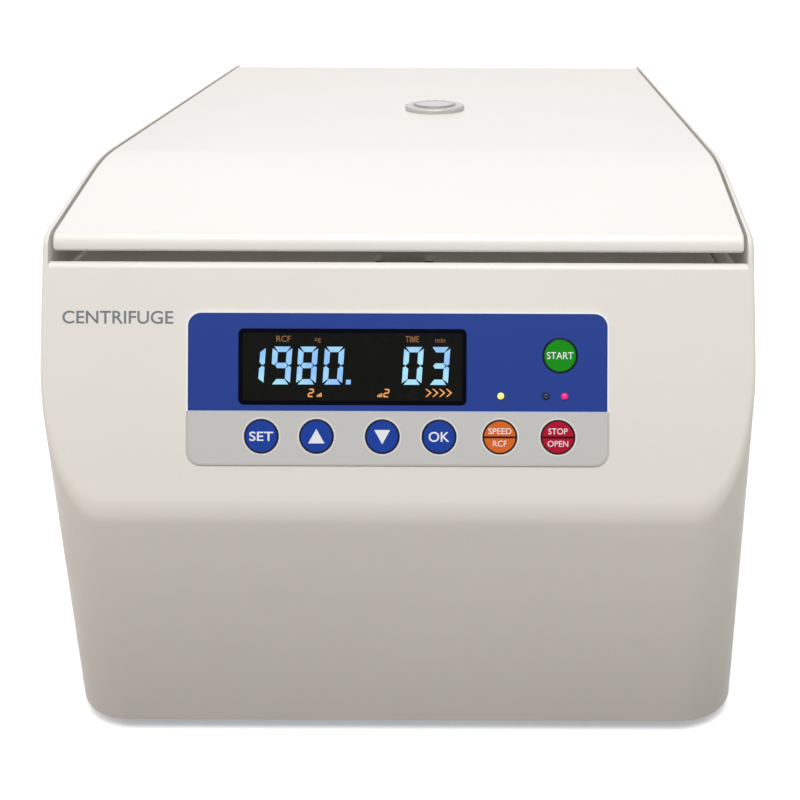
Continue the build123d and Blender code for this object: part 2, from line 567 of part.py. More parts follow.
# rest position is released: the nose is swung back from the striker
hook = Pos(0, LY, LZ) * Rot(-HOOK_SWING, 0, 0) * Pos(0, -LY, -LZ) * hook
save("lock_hook", hook)
save("lock_pivot_pin", cyl_x(-19, 19, LY, LZ, 3.0) + cyl_x(-21.8, -21, LY, LZ, 4.5) + cyl_x(-21, -19, LY, LZ, 2.95) + cyl_x(19, 22.4, LY, LZ, 2.95))
SZ = LZ - 20.0
PIN_Y = LY - 20.0 * math.tan(math.radians(HOOK_SWING))   # pin position when released
sol = box(-13, 13, -146, -108, 148, 148 + 28)
sol -= cyl_y(0, -150, -112, SZ, 5.05)
sol = soft(sol, sol.edges().filter_by(Axis.Y).filter_by(lambda e: abs(e.center().X) > 12), 1.0)
save("lock_solenoid", sol)
plunger = cyl_y(0, PIN_Y + 9.5, -126, SZ, 5.0)
plunger += box(-5.0, -2.6, PIN_Y - 4, PIN_Y + 12, SZ - 2, SZ + 2) + box(2.6, 5.0, PIN_Y - 4, PIN_Y + 12, SZ - 2, SZ + 2)
plunger += cyl_x(-5.0, 5.0, PIN_Y, SZ, 1.5)
save("solenoid_plunger", plunger)
sw = box(12.4, 19.0, -150, -130, 192, 203)
sw += box(10.6, 12.4, -142, -140, 198, 201)
save("lock_switch", sw)

# ================================================================ control panel
with BuildSketch() as sk:
    RectangleRounded(PANEL_W, PANEL_H, 6.4)
panel = face_at(0, PANEL_V, 0) * extrude(sk.sketch, amount=PANEL_T)
with BuildSketch() as sk:
    RectangleRounded(DISP_W, DISP_H, 2.6)
panel -= face_at(DISP_U, DISP_V, -1) * extrude(sk.sketch, amount=5)
for u, v in KEYS.values():
    panel -= face_at(u, v) * Cylinder(KEY_R + 0.35, 6)
for u, v in LEDS:
    panel -= face_at(u, v) * Cylinder(1.75, 6)
save("membrane_panel", panel)
with BuildSketch() as sk:
    RectangleRounded(DISP_W - 0.2, DISP_H - 0.2, 2.5)
win = face_at(DISP_U, DISP_V, -WALL) * extrude(sk.sketch, amount=WALL + PANEL_T)
win += face_at(DISP_U, DISP_V, -WALL - 0.8) * Box(DISP_W + 7, DISP_H + 7, 1.6)
save("display_window", win)
BW = -14.0
board = face_at(0, PANEL_V - 1, BW + 0.8) * Box(190, 68, 1.6)
SO = [(-90, -36), (-90, -88), (91, -33), (91, -88), (42.0, -36), (6.3, -75.5)]
for u, v in SO:
    board -= face_at(u, v, BW) * Cylinder(1.6, 10)
disp = face_at(DISP_U, DISP_V, BW + 1.6 + 3.6) * Box(DISP_W - 8, DISP_H - 6, 7.2)
save("display_module", disp)
tacts, leds, stands, bscrews = [], [], [], []
for u, v in KEYS.values():
    s = face_at(u, v, BW + 1.6 + 2.2) * Box(12, 12, 4.4)
    s += face_at(u, v, (BW + 6.0 - 5.8) / 2) * Cylinder(3.0, abs(-5.8 - (BW + 6.0)))
    tacts.append(s)
save("control_board", [board] + tacts)
for u, v in LEDS:
    l = face_at(u, v, (BW + 1.6 + 0.35) / 2) * Cylinder(1.6, 0.35 - (BW + 1.6))
    l += face_at(u, v, 0.35) * Sphere(1.6)
    leds.append(l)
save("indicator_leds", leds)
for u, v in SO:
    w0, w1 = BW + 1.6, -WALL
    stands.append(face_at(u, v, (w0 + w1) / 2) * (Cylinder(3.0, w1 - w0) - Pos(0, 0, -2) * Cylinder(1.5, w1 - w0)))
    bscrews.append(face_at(u, v, BW) * (Pos(0, 0, -0.9) * Cylinder(2.8, 1.8) + Pos(0, 0, 2.5) * Cylinder(1.45, 5.0)))
board_fixings = stands + bscrews
for name, (u, v) in KEYS.items():
    k = face_at(u, v, (0.85 - 3.4) / 2) * Cylinder(KEY_R, 0.85 + 3.4)
    top_edge = [e for e in k.edges() if e.geom_type == GeomType.CIRCLE and (CONTROL.to_local_coords(e.center())).Z > 0]
    k = soft(k, top_edge, 0.3)
    k += face_at(u, v, -3.8) * Cylinder(KEY_R + 1.3, 0.8)
    k += face_at(u, v, -4.6) * Cylinder(2.0, 0.9)
    save(name, k)

# ================================================================ electronics on the base
drive = box(-150, -20, -232, -118, 20.5, 22.1)
for x, y in [(-145, -227), (-25, -227), (-145, -123), (-25, -123)]:
    drive -= cyl(x, y, 0, 40, 1.7)
posts2 = [cyl(x, y, PLATE_Z1, 20.5, 3) - cyl(x, y, 13, 30, 1.5) for x, y in [(-145, -227), (-25, -227), (-145, -123), (-25, -123)]]
caps = []
for x, y, r, h in [(-130, -205, 12.5, 42), (-100, -205, 12.5, 42), (-130, -175, 9, 30), (-45, -150, 8, 24)]:
    caps.append(turn([(0, 22.1), (r, 22.1), (r, 22.1 + h - 1), (r - 1, 22.1 + h), (0, 22.1 + h)], x, y))
sink = box(-82, -32, -228, -176, 22.1, 27)
for i in range(7):
    sink += box(-82 + i * 8, -80 + i * 8, -228, -176, 26.5, 52)
save("drive_board", [drive] + caps + [sink])
core = box(35, 125, -215, -145, PLATE_Z1, 74)
core -= box(52, 108, -220, -140, 26, 60)
winding = box(52.4, 107.6, -228, -132, 26.4, 59.6)
winding = soft(winding, winding.edges().filter_by(Axis.Z), 10)
save("transformer", [core, winding])

save("board_standoffs", board_fixings + posts2)

# ================================================================ rear panel
RY0, RY1 = 252.6, 254.1
rear = box(-130, 130, RY0, RY1, 14, 128)
FX, FZ = 62.0, 72.0
for i in range(-5, 6):
    x = FX + i * 6.8
    half = math.sqrt(max(36.5 ** 2 - (i * 6.8) ** 2, 1))
    if half > 6:
        rear -= box(x - 2.1, x + 2.1, 240, 270, FZ - half, FZ + half)
IX, IZ = -72.0, 50.0
rear -= box(IX - 14, IX + 14, 240, 270, IZ - 10, IZ + 10)
SX, SZ2 = -72.0, 95.0
rear -= box(SX - 11, SX + 11, 240, 270, SZ2 - 14.5, SZ2 + 14.5)
for x, z in REAR_SCREWS:
    rear -= cyl_y(x, 240, 270, z, 1.8)
save("rear_panel", rear)
rscrews = [cyl_y(x, 246, 257.3, z, 1.45) + cyl_y(x, 257.2, 258.6, z, 2.9) for x, z in REAR_SCREWS]
save("case_screws", base_screws + rscrews)

inlet = box(IX - 13.7, IX + 13.7, 231, RY1, IZ - 9.7, IZ + 9.7) + box(IX - 25, IX + 25, RY1, RY1 + 2.6, IZ - 13, IZ + 13)
inlet -= box(IX - 12, IX + 12, 239, 270, IZ - 8.2, IZ + 8.2)
for dx, dz in ((-7, -1.5), (7, -1.5), (0, 2.5)):
    inlet += box(IX + dx - 1, IX + dx + 1, 225, 253, IZ + dz - 2, IZ + dz + 2)
save("power_inlet", inlet)
frame_sw = box(SX - 10.7, SX + 10.7, 236, RY1, SZ2 - 14.2, SZ2 + 14.2) + box(SX - 12.5, SX + 12.5, RY1, RY1 + 1.8, SZ2 - 16, SZ2 + 16)
frame_sw -= box(SX - 7.4, SX + 7.4, 240, 270, SZ2 - 12.4, SZ2 + 12.4)
save("power_switch_frame", frame_sw)
RK_Y = 250.0
rock = prism_x([(RK_Y - 4.5, SZ2 - 4), (RK_Y - 4.5, SZ2 + 4), (RK_Y + 1.5, SZ2 + 11.3), (RK_Y + 4.6, SZ2 + 11.0), (RK_Y + 6.0, SZ2), (RK_Y + 7.2 - 2.6, SZ2 - 11.0), (RK_Y + 1.5, SZ2 - 11.3)], SX - 6.9, SX + 6.9)
rock = Pos(0, RK_Y, SZ2) * Rot(7, 0, 0) * Pos(0, -RK_Y, -SZ2) * rock
save("power_rocker", rock)
frame_fan = box(FX - 40, FX + 40, 227.4, RY0, FZ - 40, FZ + 40) - cyl_y(FX, 200, 270, FZ, 37.6)
frame_fan += cyl_y(FX, 227.4, 230.0, FZ, 17)
for a in (45, 135, 225, 315):
    frame_fan += Pos(FX, 0, FZ) * Rot(0, a, 0) * Pos(27, 228.7, 0) * Box(24, 2.6, 5)
save("fan_frame", frame_fan)
hub = cyl_y(FX, 230.4, 251.0, FZ, 17.0)
wheel = hub
for i in range(7):
    blade = Pos(26, 0, 0) * Rot(38, 0, 0) * Box(22, 1.6, 22)
    wheel += Pos(FX, 240.8, FZ) * Rot(0, 360 / 7 * i, 0) * blade
wheel = wheel & cyl_y(FX, 230.4, 251.2, FZ, 36.6)
save("fan_impeller", wheel)
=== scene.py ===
import math

import bmesh
import bpy
from mathutils import Matrix, Vector


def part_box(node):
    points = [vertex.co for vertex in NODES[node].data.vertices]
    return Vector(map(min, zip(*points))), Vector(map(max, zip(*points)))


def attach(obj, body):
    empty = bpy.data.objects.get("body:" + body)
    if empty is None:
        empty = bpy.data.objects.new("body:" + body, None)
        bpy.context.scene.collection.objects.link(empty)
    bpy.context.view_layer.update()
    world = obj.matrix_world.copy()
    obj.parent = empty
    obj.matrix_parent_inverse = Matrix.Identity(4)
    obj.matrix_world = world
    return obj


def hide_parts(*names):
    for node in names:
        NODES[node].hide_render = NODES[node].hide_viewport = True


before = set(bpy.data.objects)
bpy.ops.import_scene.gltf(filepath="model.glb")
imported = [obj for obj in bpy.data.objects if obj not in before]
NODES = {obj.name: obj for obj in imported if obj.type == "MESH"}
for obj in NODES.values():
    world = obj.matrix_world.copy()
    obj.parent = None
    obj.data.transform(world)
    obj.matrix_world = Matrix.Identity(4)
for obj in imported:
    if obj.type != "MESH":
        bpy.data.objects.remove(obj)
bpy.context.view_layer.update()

MM = 0.001
RAD = math.radians
scene = bpy.context.scene

# ---------------------------------------------------------------- helpers


def lin(*c):
    """8-bit sRGB to linear colour with alpha 1."""
    out = []
    for x in c[:3]:
        x = x / 255.0
        out.append(x / 12.92 if x <= 0.04045 else ((x + 0.055) / 1.055) ** 2.4)
    return (*out, 1.0)


def scale_col(c, k):
    return tuple(min(1.0, max(0.0, x * k)) for x in c[:3]) + (1.0,)


class Mat:
    """A node material round one Principled shader."""

    def __init__(self, name):
        self.m = bpy.data.materials.new(name)
        self.m.use_nodes = True
        self.nt = self.m.node_tree
        self.nt.nodes.clear()
        self.out = self.nt.nodes.new("ShaderNodeOutputMaterial")
        self.b = self.nt.nodes.new("ShaderNodeBsdfPrincipled")
        self.nt.links.new(self.b.outputs[0], self.out.inputs[0])
        self.tc = self.nt.nodes.new("ShaderNodeTexCoord")
        self.co = self.tc.outputs["Object"]

    def node(self, kind, **props):
        n = self.nt.nodes.new(kind)
        for k, v in props.items():
            setattr(n, k, v)
        return n

    def link(self, a, b):
        self.nt.links.new(a, b)

    def set(self, **kw):
        for k, v in kw.items():
            self.b.inputs[k.replace("_", " ")].default_value = v
        return self

    def mapped(self, scale=(1, 1, 1), rot=(0, 0, 0), loc=(0, 0, 0), src=None):
        n = self.node("ShaderNodeMapping")
        n.inputs["Scale"].default_value = scale
        n.inputs["Rotation"].default_value = rot
        n.inputs["Location"].default_value = loc
        self.link(src or self.co, n.inputs["Vector"])
        return n.outputs[0]

    def noise(self, scale, detail=3.0, rough=0.5, vec=None, distort=0.0):
        n = self.node("ShaderNodeTexNoise")
        n.inputs["Scale"].default_value = scale
        n.inputs["Detail"].default_value = detail
        n.inputs["Roughness"].default_value = rough
        n.inputs["Distortion"].default_value = distort
        self.link(vec or self.co, n.inputs["Vector"])
        return n.outputs["Fac"]

    def voronoi(self, scale, vec=None, feature="F1"):
        n = self.node("ShaderNodeTexVoronoi", feature=feature)
        n.inputs["Scale"].default_value = scale
        self.link(vec or self.co, n.inputs["Vector"])
        return n.outputs["Distance"]

    def ramp(self, fac, stops, interp="LINEAR"):
        n = self.node("ShaderNodeValToRGB")
        cr = n.color_ramp
        cr.interpolation = interp
        while len(cr.elements) > 1:
            cr.elements.remove(cr.elements[-1])
        cr.elements[0].position, cr.elements[0].color = stops[0]
        for p, c in stops[1:]:
            e = cr.elements.new(p)
            e.color = c
        self.link(fac, n.inputs["Fac"])
        return n.outputs["Color"]

    def mix(self, fac, a, b, mode="MIX"):
        n = self.node("ShaderNodeMix", data_type="RGBA", blend_type=mode)
        for sock, val in ((n.inputs[0], fac), (n.inputs[6], a), (n.inputs[7], b)):
            if hasattr(val, "is_output") or isinstance(val, bpy.types.NodeSocket):
                self.link(val, sock)
            else:
                sock.default_value = val
        return n.outputs[2]

    def maths(self, op, a, b=0.0, c=None, clamp=False):
        n = self.node("ShaderNodeMath", operation=op)
        n.use_clamp = clamp
        vals = [a, b] + ([c] if c is not None else [])
        for i, val in enumerate(vals):
            if isinstance(val, bpy.types.NodeSocket):
                self.link(val, n.inputs[i])
            else:
                n.inputs[i].default_value = val
        return n.outputs[0]

    def remap(self, fac, lo, hi, a=0.0, b=1.0):
        n = self.node("ShaderNodeMapRange")
        n.inputs["From Min"].default_value = a
        n.inputs["From Max"].default_value = b
        n.inputs["To Min"].default_value = lo
        n.inputs["To Max"].default_value = hi
        self.link(fac, n.inputs["Value"])
        return n.outputs[0]

    def xyz(self, vec=None):
        n = self.node("ShaderNodeSeparateXYZ")
        self.link(vec or self.co, n.inputs[0])
        return n.outputs

    def base(self, sock):
        self.link(sock, self.b.inputs["Base Color"])
        return self

    def rough(self, sock):
        self.link(sock, self.b.inputs["Roughness"])
        return self

    def bump(self, height, strength, distance, under=None):
        n = self.node("ShaderNodeBump")
        n.inputs["Strength"].default_value = strength
        n.inputs["Distance"].default_value = distance
        self.link(height, n.inputs["Height"])
        if under is not None:
            self.link(under, n.inputs["Normal"])
        self.link(n.outputs[0], self.b.inputs["Normal"])
        return n.outputs[0]


def plastic(name, col, rough=0.42, grain=1500.0, grain_d=0.00002, var=0.03, spec=0.5,
            coat=0.0, wave=9.0, wave_d=0.0, rvar=0.05, dust=0.0):
    """Moulded plastic: slight colour drift, spark-eroded grain, uneven gloss and faint sink waves."""
    m = Mat(name)
    big = m.noise(7.0, 3, 0.55)
    c = m.ramp(big, [(0.3, scale_col(col, 1 - var)), (0.7, scale_col(col, 1 + var))])
    fine = m.noise(420.0, 2, 0.6)
    c = m.mix(m.remap(fine, 0.0, 0.05, 0.35, 0.75), c, scale_col(col, 0.82))
    if dust:
        d = m.noise(34.0, 6, 0.62)
        c = m.mix(m.remap(d, 0.0, dust, 0.45, 0.8), c, scale_col(col, 0.9))
    m.base(c)
    r = m.noise(60.0, 4, 0.6)
    m.rough(m.remap(r, rough - rvar, rough + rvar, 0.3, 0.7))
    g = m.noise(grain, 2, 0.5)
    n = m.bump(g, 0.55, grain_d)
    if wave_d:
        w = m.noise(wave, 1, 0.3)
        m.bump(w, 1.0, wave_d, under=n)
    m.set(Specular_IOR_Level=spec, Coat_Weight=coat)
    return m


def metal(name, col, rough=0.3, brush=(40, 40, 900), bump_d=0.000006, var=0.06, pits=0.0, metallic=1.0):
    m = Mat(name)
    v = m.mapped(brush)
    streak = m.noise(1.0, 4, 0.6, vec=v)
    cloud = m.noise(22.0, 4, 0.6)
    c = m.ramp(cloud, [(0.3, scale_col(col, 1 - var)), (0.7, scale_col(col, 1 + var))])
    c = m.mix(m.remap(streak, 0.0, 0.14, 0.35, 0.7), c, scale_col(col, 0.6))
    m.base(c)
    m.rough(m.remap(streak, rough - 0.06, rough + 0.09, 0.3, 0.7))
    n = m.bump(streak, 0.6, bump_d)
    if pits:
        m.bump(m.noise(700.0, 3, 0.6), 0.7, pits, under=n)
    m.set(Metallic=metallic)
    return m


def rubber(name, col=(0.018, 0.018, 0.019), rough=0.68):
    m = Mat(name)
    c = m.ramp(m.noise(60.0, 4, 0.6), [(0.3, scale_col(col, 0.75)), (0.75, scale_col(col, 1.7))])
    m.base(c)
    m.rough(m.remap(m.noise(140.0, 4), rough - 0.1, rough + 0.1, 0.3, 0.7))
    m.bump(m.noise(1100.0, 3), 0.8, 0.00005)
    return m


def use(mat, *names):
    for n in names:
        o = NODES[n]
        o.data.materials.clear()
        o.data.materials.append(mat.m if isinstance(mat, Mat) else mat)


def new_piece(name, bm, mat, body, smooth=True):
    me = bpy.data.meshes.new(name)
    bm.normal_update()
    bm.to_mesh(me)
    bm.free()
    o = bpy.data.objects.new(name, me)
    scene.collection.objects.link(o)
    me.materials.append(mat.m if isinstance(mat, Mat) else mat)
    for p in me.polygons:
        p.use_smooth = smooth
    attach(o, body)
    return o


# ---------------------------------------------------------------- camera, light and floor

cam_data = bpy.data.cameras.new("camera")
cam_data.sensor_width = 36.0
cam_data.lens = 50.85
cam_data.shift_x = -0.11
cam_data.shift_y = 0.00125
cam_data.clip_start, cam_data.clip_end = 0.02, 60.0
cam = bpy.data.objects.new("camera", cam_data)
cam.location = (0.043, -0.7275, 0.3957)
cam.rotation_euler = (Matrix.Rotation(RAD(66.05), 3, "X") @ Matrix.Rotation(RAD(0.2), 3, "Z")).to_euler()
scene.collection.objects.link(cam)
scene.camera = cam

scene.view_settings.view_transform = "Standard"
scene.view_settings.look = "None"
scene.view_settings.exposure = 0.0
scene.cycles.use_denoising = True

world = bpy.data.worlds.new("studio")
scene.world = world
world.use_nodes = True
wn = world.node_tree
wn.nodes.clear()
w_out = wn.nodes.new("ShaderNodeOutputWorld")
w_bg = wn.nodes.new("ShaderNodeBackground")
w_tc = wn.nodes.new("ShaderNodeTexCoord")
w_sep = wn.nodes.new("ShaderNodeSeparateXYZ")
w_ramp = wn.nodes.new("ShaderNodeValToRGB")
w_map = wn.nodes.new("ShaderNodeMapRange")
w_map.inputs["From Min"].default_value = -1.0
wn.links.new(w_tc.outputs["Generated"], w_sep.inputs[0])
wn.links.new(w_sep.outputs["Z"], w_map.inputs["Value"])
wn.links.new(w_map.outputs[0], w_ramp.inputs["Fac"])
wn.links.new(w_ramp.outputs["Color"], w_bg.inputs["Color"])
wn.links.new(w_bg.outputs[0], w_out.inputs[0])
cr = w_ramp.color_ramp
cr.elements[0].position, cr.elements[0].color = 0.49, (0.012, 0.012, 0.012, 1)
cr.elements[1].position, cr.elements[1].color = 1.0, (0.16, 0.16, 0.16, 1)
e = cr.elements.new(0.5)
e.color = (0.05, 0.05, 0.05, 1)
e = cr.elements.new(0.72)
e.color = (0.07, 0.07, 0.07, 1)
w_bg.inputs["Strength"].default_value = 1.0


def sun(name, direction, strength, angle, colour=(1, 1, 1)):
    d = bpy.data.lights.new(name, "SUN")
    d.energy = strength
    d.angle = RAD(angle)
    d.color = colour
    o = bpy.data.objects.new(name, d)
    o.rotation_euler = (-Vector(direction)).to_track_quat("-Z", "Y").to_euler()
    scene.collection.objects.link(o)
    return o


# direction points from the object towards the light
sun("main_soft", (0.0, -0.35, 0.94), 2.23, 40.0, (1.0, 0.936, 0.855))
sun("left_soft", (-0.8, -0.25, 0.55), 0.50, 50.0, (1.0, 0.75, 0.64))
sun("right_soft", (0.8, -0.25, 0.55), 0.22, 50.0, (1.0, 0.82, 0.58))
sun("rear_soft", (0.0, 0.75, 0.5), 0.66, 60.0, (0.917, 0.944, 1.0))
box_light = bpy.data.lights.new("softbox", "AREA")
box_light.shape = "SQUARE"
box_light.size = 0.6
box_light.energy = 2.16
box_light.color = (0.36, 0.64, 0.86)
softbox = bpy.data.objects.new("softbox", box_light)
softbox.location = (0.0, -0.45, 1.0)
softbox.rotation_euler = (Vector((0, -0.15, 0.2)) - Vector((0, -0.45, 1.0))).to_track_quat("-Z", "Y").to_euler()
softbox.visible_camera = False
scene.collection.objects.link(softbox)

floor_mat = Mat("studio_floor")
fc = floor_mat.ramp(floor_mat.noise(1.3, 3), [(0.3, (0.88, 0.88, 0.88, 1)), (0.7, (0.91, 0.91, 0.91, 1))])
floor_mat.base(fc).set(Roughness=0.8, Specular_IOR_Level=0.1)
floor_mat.b.inputs["Emission Color"].default_value = (0.90, 0.95, 1.0, 1)
floor_mat.m.cycles.emission_sampling = "NONE"
floor_mat.b.inputs["Emission Strength"].default_value = 0.40
bm = bmesh.new()
bmesh.ops.create_circle(bm, cap_ends=True, segments=96, radius=22.0)
me = bpy.data.meshes.new("floor")
bm.to_mesh(me)
bm.free()
floor = bpy.data.objects.new("floor", me)
me.materials.append(floor_mat.m)
scene.collection.objects.link(floor)
floor.visible_diffuse = False

# a plain white wall far behind everything closes the view above the floor's edge
wall_mat = Mat("backdrop_wall")
wall_mat.base(wall_mat.ramp(wall_mat.noise(0.5, 2), [(0.3, (0.85, 0.85, 0.85, 1)), (0.7, (0.88, 0.88, 0.88, 1))]))
wall_mat.b.inputs["Emission Color"].default_value = (1.0, 1.0, 1.0, 1)
wall_mat.b.inputs["Emission Strength"].default_value = 1.1
wall_mat.m.cycles.emission_sampling = "NONE"
bm = bmesh.new()
low = [bm.verts.new((21.0 * math.cos(2 * math.pi * k / 96), 21.0 * math.sin(2 * math.pi * k / 96), -0.5)) for k in range(96)]
high = [bm.verts.new((v.co.x, v.co.y, 40.0)) for v in low]
for k in range(96):
    m = (k + 1) % 96
    bm.faces.new((low[k], high[k], high[m], low[m]))
me = bpy.data.meshes.new("backdrop")
bm.to_mesh(me)
bm.free()
wall = bpy.data.objects.new("backdrop", me)
me.materials.append(wall_mat.m)
scene.collection.objects.link(wall)
wall.visible_diffuse = wall.visible_glossy = wall.visible_transmission = wall.visible_shadow = False

# a luminous frame just under the floor, well away from the object, bounces light up at its sides
card_mat = Mat("bounce_card")
card_mat.base(card_mat.ramp(card_mat.noise(0.8, 2), [(0.3, (0.02, 0.02, 0.02, 1)), (0.7, (0.025, 0.025, 0.025, 1))]))
card_mat.b.inputs["Emission Color"].default_value = (1.0, 0.955, 0.90, 1)
card_mat.b.inputs["Emission Strength"].default_value = 1.03
card_mat.m.cycles.emission_sampling = "NONE"
bm = bmesh.new()
ix, iy = 0.174 + 0.40, 0.26 + 0.40
inner_c = [bm.verts.new((x, y, -0.004)) for x, y in ((-ix, -iy), (ix, -iy), (ix, iy), (-ix, iy))]
outer_c = [bm.verts.new((x, y, -0.004)) for x, y in ((-5, -5), (5, -5), (5, 5), (-5, 5))]
for k in range(4):
    m = (k + 1) % 4
    bm.faces.new((inner_c[k], inner_c[m], outer_c[m], outer_c[k]))
me = bpy.data.meshes.new("bounce_card")
bm.to_mesh(me)
bm.free()
card = bpy.data.objects.new("bounce_card", me)
me.materials.append(card_mat.m)
scene.collection.objects.link(card)
card.visible_camera = False

# ---------------------------------------------------------------- materials

CASE = (0.845, 0.822, 0.775)
LID = (0.875, 0.858, 0.828)
M_case = plastic("case_plastic_off_white", CASE, rough=0.40, grain=1700, grain_d=0.000016, var=0.012, wave_d=0.00018, dust=0.02)
M_lid = plastic("lid_plastic_off_white", LID, rough=0.36, grain=1700, grain_d=0.000014, var=0.010, wave_d=0.00014, dust=0.015)
# painted light: a faint glow added to the case plastic on the deck in front of the chamber lifts the shade in the gap
# under the lid
dkx, dky, dkz = M_case.xyz()
deck_painted_glow = M_case.maths("MULTIPLY", M_case.maths("LESS_THAN", dkz, 0.2286), M_case.maths("GREATER_THAN", dkz, 0.205))
deck_painted_glow = M_case.maths("MULTIPLY", deck_painted_glow, M_case.maths("GREATER_THAN", dky, -0.2062))
deck_painted_glow = M_case.maths("MULTIPLY", deck_painted_glow, M_case.maths("LESS_THAN", M_case.maths("ABSOLUTE", dkx), 0.1668))
deck_painted_glow = M_case.maths("MULTIPLY", deck_painted_glow, M_case.remap(dky, 1.0, 0.0, -0.16, -0.09))
M_case.link(M_case.maths("MULTIPLY", deck_painted_glow, 0.058), M_case.b.inputs["Emission Strength"])
M_case.b.inputs["Emission Color"].default_value = (1.0, 0.93, 0.80, 1)
M_case.m.cycles.emission_sampling = "NONE"
use(M_case, "body_shell")
use(M_lid, "lid_cover")

M_plate = plastic("powder_coated_sheet", (0.36, 0.36, 0.35), rough=0.55, grain=900, grain_d=0.00007, var=0.05)
use(M_plate, "base_plate", "rear_panel")
M_foot = rubber("foot_rubber_black")
use(M_foot, "rubber_feet", "rubber_mounts")
M_seal = rubber("seal_rubber_black", (0.022, 0.022, 0.023), 0.55)
use(M_seal, "chamber_seal", "shaft_boot")
M_screw = metal("zinc_screws", (0.62, 0.62, 0.60), 0.32, brush=(200, 200, 200), pits=0.00001)
use(M_screw, "foot_screws", "case_screws", "hinge_screws", "lid_screws")
M_zinc = metal("zinc_plate", (0.60, 0.61, 0.61), 0.34, brush=(60, 500, 60), pits=0.000015, var=0.12)
use(M_zinc, "hinge_brackets", "lock_bracket", "hinge_leaves", "lock_hook")
# painted light: the grey striker glows faintly to match the lifted shade in the gap under the lid
M_strike = plastic("striker_grey_painted_glow", (0.40, 0.39, 0.37), rough=0.5, grain=900, grain_d=0.00004, var=0.06)
M_strike.b.inputs["Emission Color"].default_value = (1.0, 0.93, 0.80, 1)
M_strike.b.inputs["Emission Strength"].default_value = 0.035
M_strike.m.cycles.emission_sampling = "NONE"
use(M_strike, "lid_striker")
M_armour = plastic("armour_paint", (0.075, 0.08, 0.085), rough=0.5, grain=800, grain_d=0.00006, var=0.08)
use(M_armour, "armour_ring", "motor_plate")
M_alu = metal("cast_aluminium", (0.56, 0.565, 0.57), 0.46, brush=(90, 90, 90), pits=0.00006, var=0.08)
use(M_alu, "motor_housing", "motor_end_caps")
M_bear = metal("ground_steel", (0.60, 0.60, 0.60), 0.2, brush=(30, 30, 1400))
use(M_bear, "motor_bearings", "lock_pivot_pin", "hinge_pins", "motor_shaft", "solenoid_plunger")
M_black = plastic("black_moulding", (0.022, 0.022, 0.024), rough=0.45, grain=1300, grain_d=0.00003, var=0.12)
use(M_black, "lock_switch", "display_module", "power_inlet", "power_switch_frame", "fan_frame", "fan_impeller")
M_bezel = plastic("window_bezel_clear_grey", (0.68, 0.67, 0.64), rough=0.22, grain=900, grain_d=0.00001, var=0.08)
M_bezel.set(Transmission_Weight=0.25, IOR=1.5)
use(M_bezel, "window_sleeve")
M_rocker = plastic("rocker_black", (0.02, 0.02, 0.022), rough=0.25, grain=1300, grain_d=0.000008, var=0.1)
use(M_rocker, "power_rocker")

# laminated iron and windings: laminations along z, with copper tones where the lamination noise runs high
M_core = Mat("laminated_core")
lam = M_core.noise(1.0, 2, 0.5, vec=M_core.mapped((20, 20, 1600)))
M_core.base(M_core.ramp(lam, [(0.35, (0.055, 0.045, 0.04, 1)), (0.55, (0.16, 0.12, 0.10, 1)), (0.8, (0.30, 0.15, 0.07, 1))]))
M_core.rough(M_core.remap(lam, 0.4, 0.6))
M_core.bump(lam, 0.7, 0.00008)
M_core.set(Metallic=0.6)
use(M_core, "motor_stator", "motor_armature", "transformer", "lock_solenoid")

# circuit boards: solder mask with tracks and pads
M_pcb = Mat("circuit_board_green")
tv = M_pcb.mapped((320, 320, 320))
tracks = M_pcb.node("ShaderNodeTexBrick")
tracks.inputs["Scale"].default_value = 1.0
tracks.inputs["Mortar Size"].default_value = 0.06
tracks.inputs["Color1"].default_value = (0.012, 0.10, 0.045, 1)
tracks.inputs["Color2"].default_value = (0.016, 0.13, 0.055, 1)
tracks.inputs["Mortar"].default_value = (0.035, 0.24, 0.10, 1)
M_pcb.link(tv, tracks.inputs["Vector"])
pads = M_pcb.ramp(M_pcb.voronoi(260.0), [(0.10, (1, 1, 1, 1)), (0.14, (0, 0, 0, 1))])
M_pcb.base(M_pcb.mix(pads, tracks.outputs["Color"], (0.55, 0.55, 0.52, 1)))
M_pcb.rough(M_pcb.remap(M_pcb.noise(120), 0.25, 0.42))
M_pcb.bump(tracks.outputs["Fac"], 0.5, 0.00004)
use(M_pcb, "control_board", "drive_board")
M_brass = metal("brass_turned", (0.62, 0.44, 0.18), 0.3, brush=(500, 500, 900), var=0.08)
use(M_brass, "board_standoffs")

# stainless: bowl spun round its axis, lid plate brushed across
M_bowl = Mat("spun_stainless")
x, y, z = M_bowl.xyz()
ry = M_bowl.maths("SUBTRACT", y, 0.036)
rr = M_bowl.maths("SQRT", M_bowl.maths("ADD", M_bowl.maths("MULTIPLY", x, x), M_bowl.maths("MULTIPLY", ry, ry)))
comb = M_bowl.node("ShaderNodeCombineXYZ")
M_bowl.link(M_bowl.maths("MULTIPLY", rr, 1400.0), comb.inputs[0])
M_bowl.link(M_bowl.maths("MULTIPLY", z, 1400.0), comb.inputs[1])
ring = M_bowl.noise(1.0, 3, 0.6, vec=comb.outputs[0])
cloud = M_bowl.noise(16.0, 4, 0.6)
bc = M_bowl.ramp(cloud, [(0.3, (0.58, 0.58, 0.585, 1)), (0.7, (0.70, 0.70, 0.70, 1))])
M_bowl.base(M_bowl.mix(M_bowl.remap(ring, 0.0, 0.2, 0.35, 0.7), bc, (0.40, 0.40, 0.41, 1)))
M_bowl.rough(M_bowl.remap(ring, 0.24, 0.40, 0.3, 0.7))
M_bowl.bump(ring, 0.5, 0.00001)
M_bowl.set(Metallic=1.0)
use(M_bowl, "chamber_bowl")
M_inner = metal("lid_liner_stainless", (0.66, 0.66, 0.66), 0.33, brush=(12, 1500, 60), bump_d=0.000008)
use(M_inner, "lid_inner_plate")

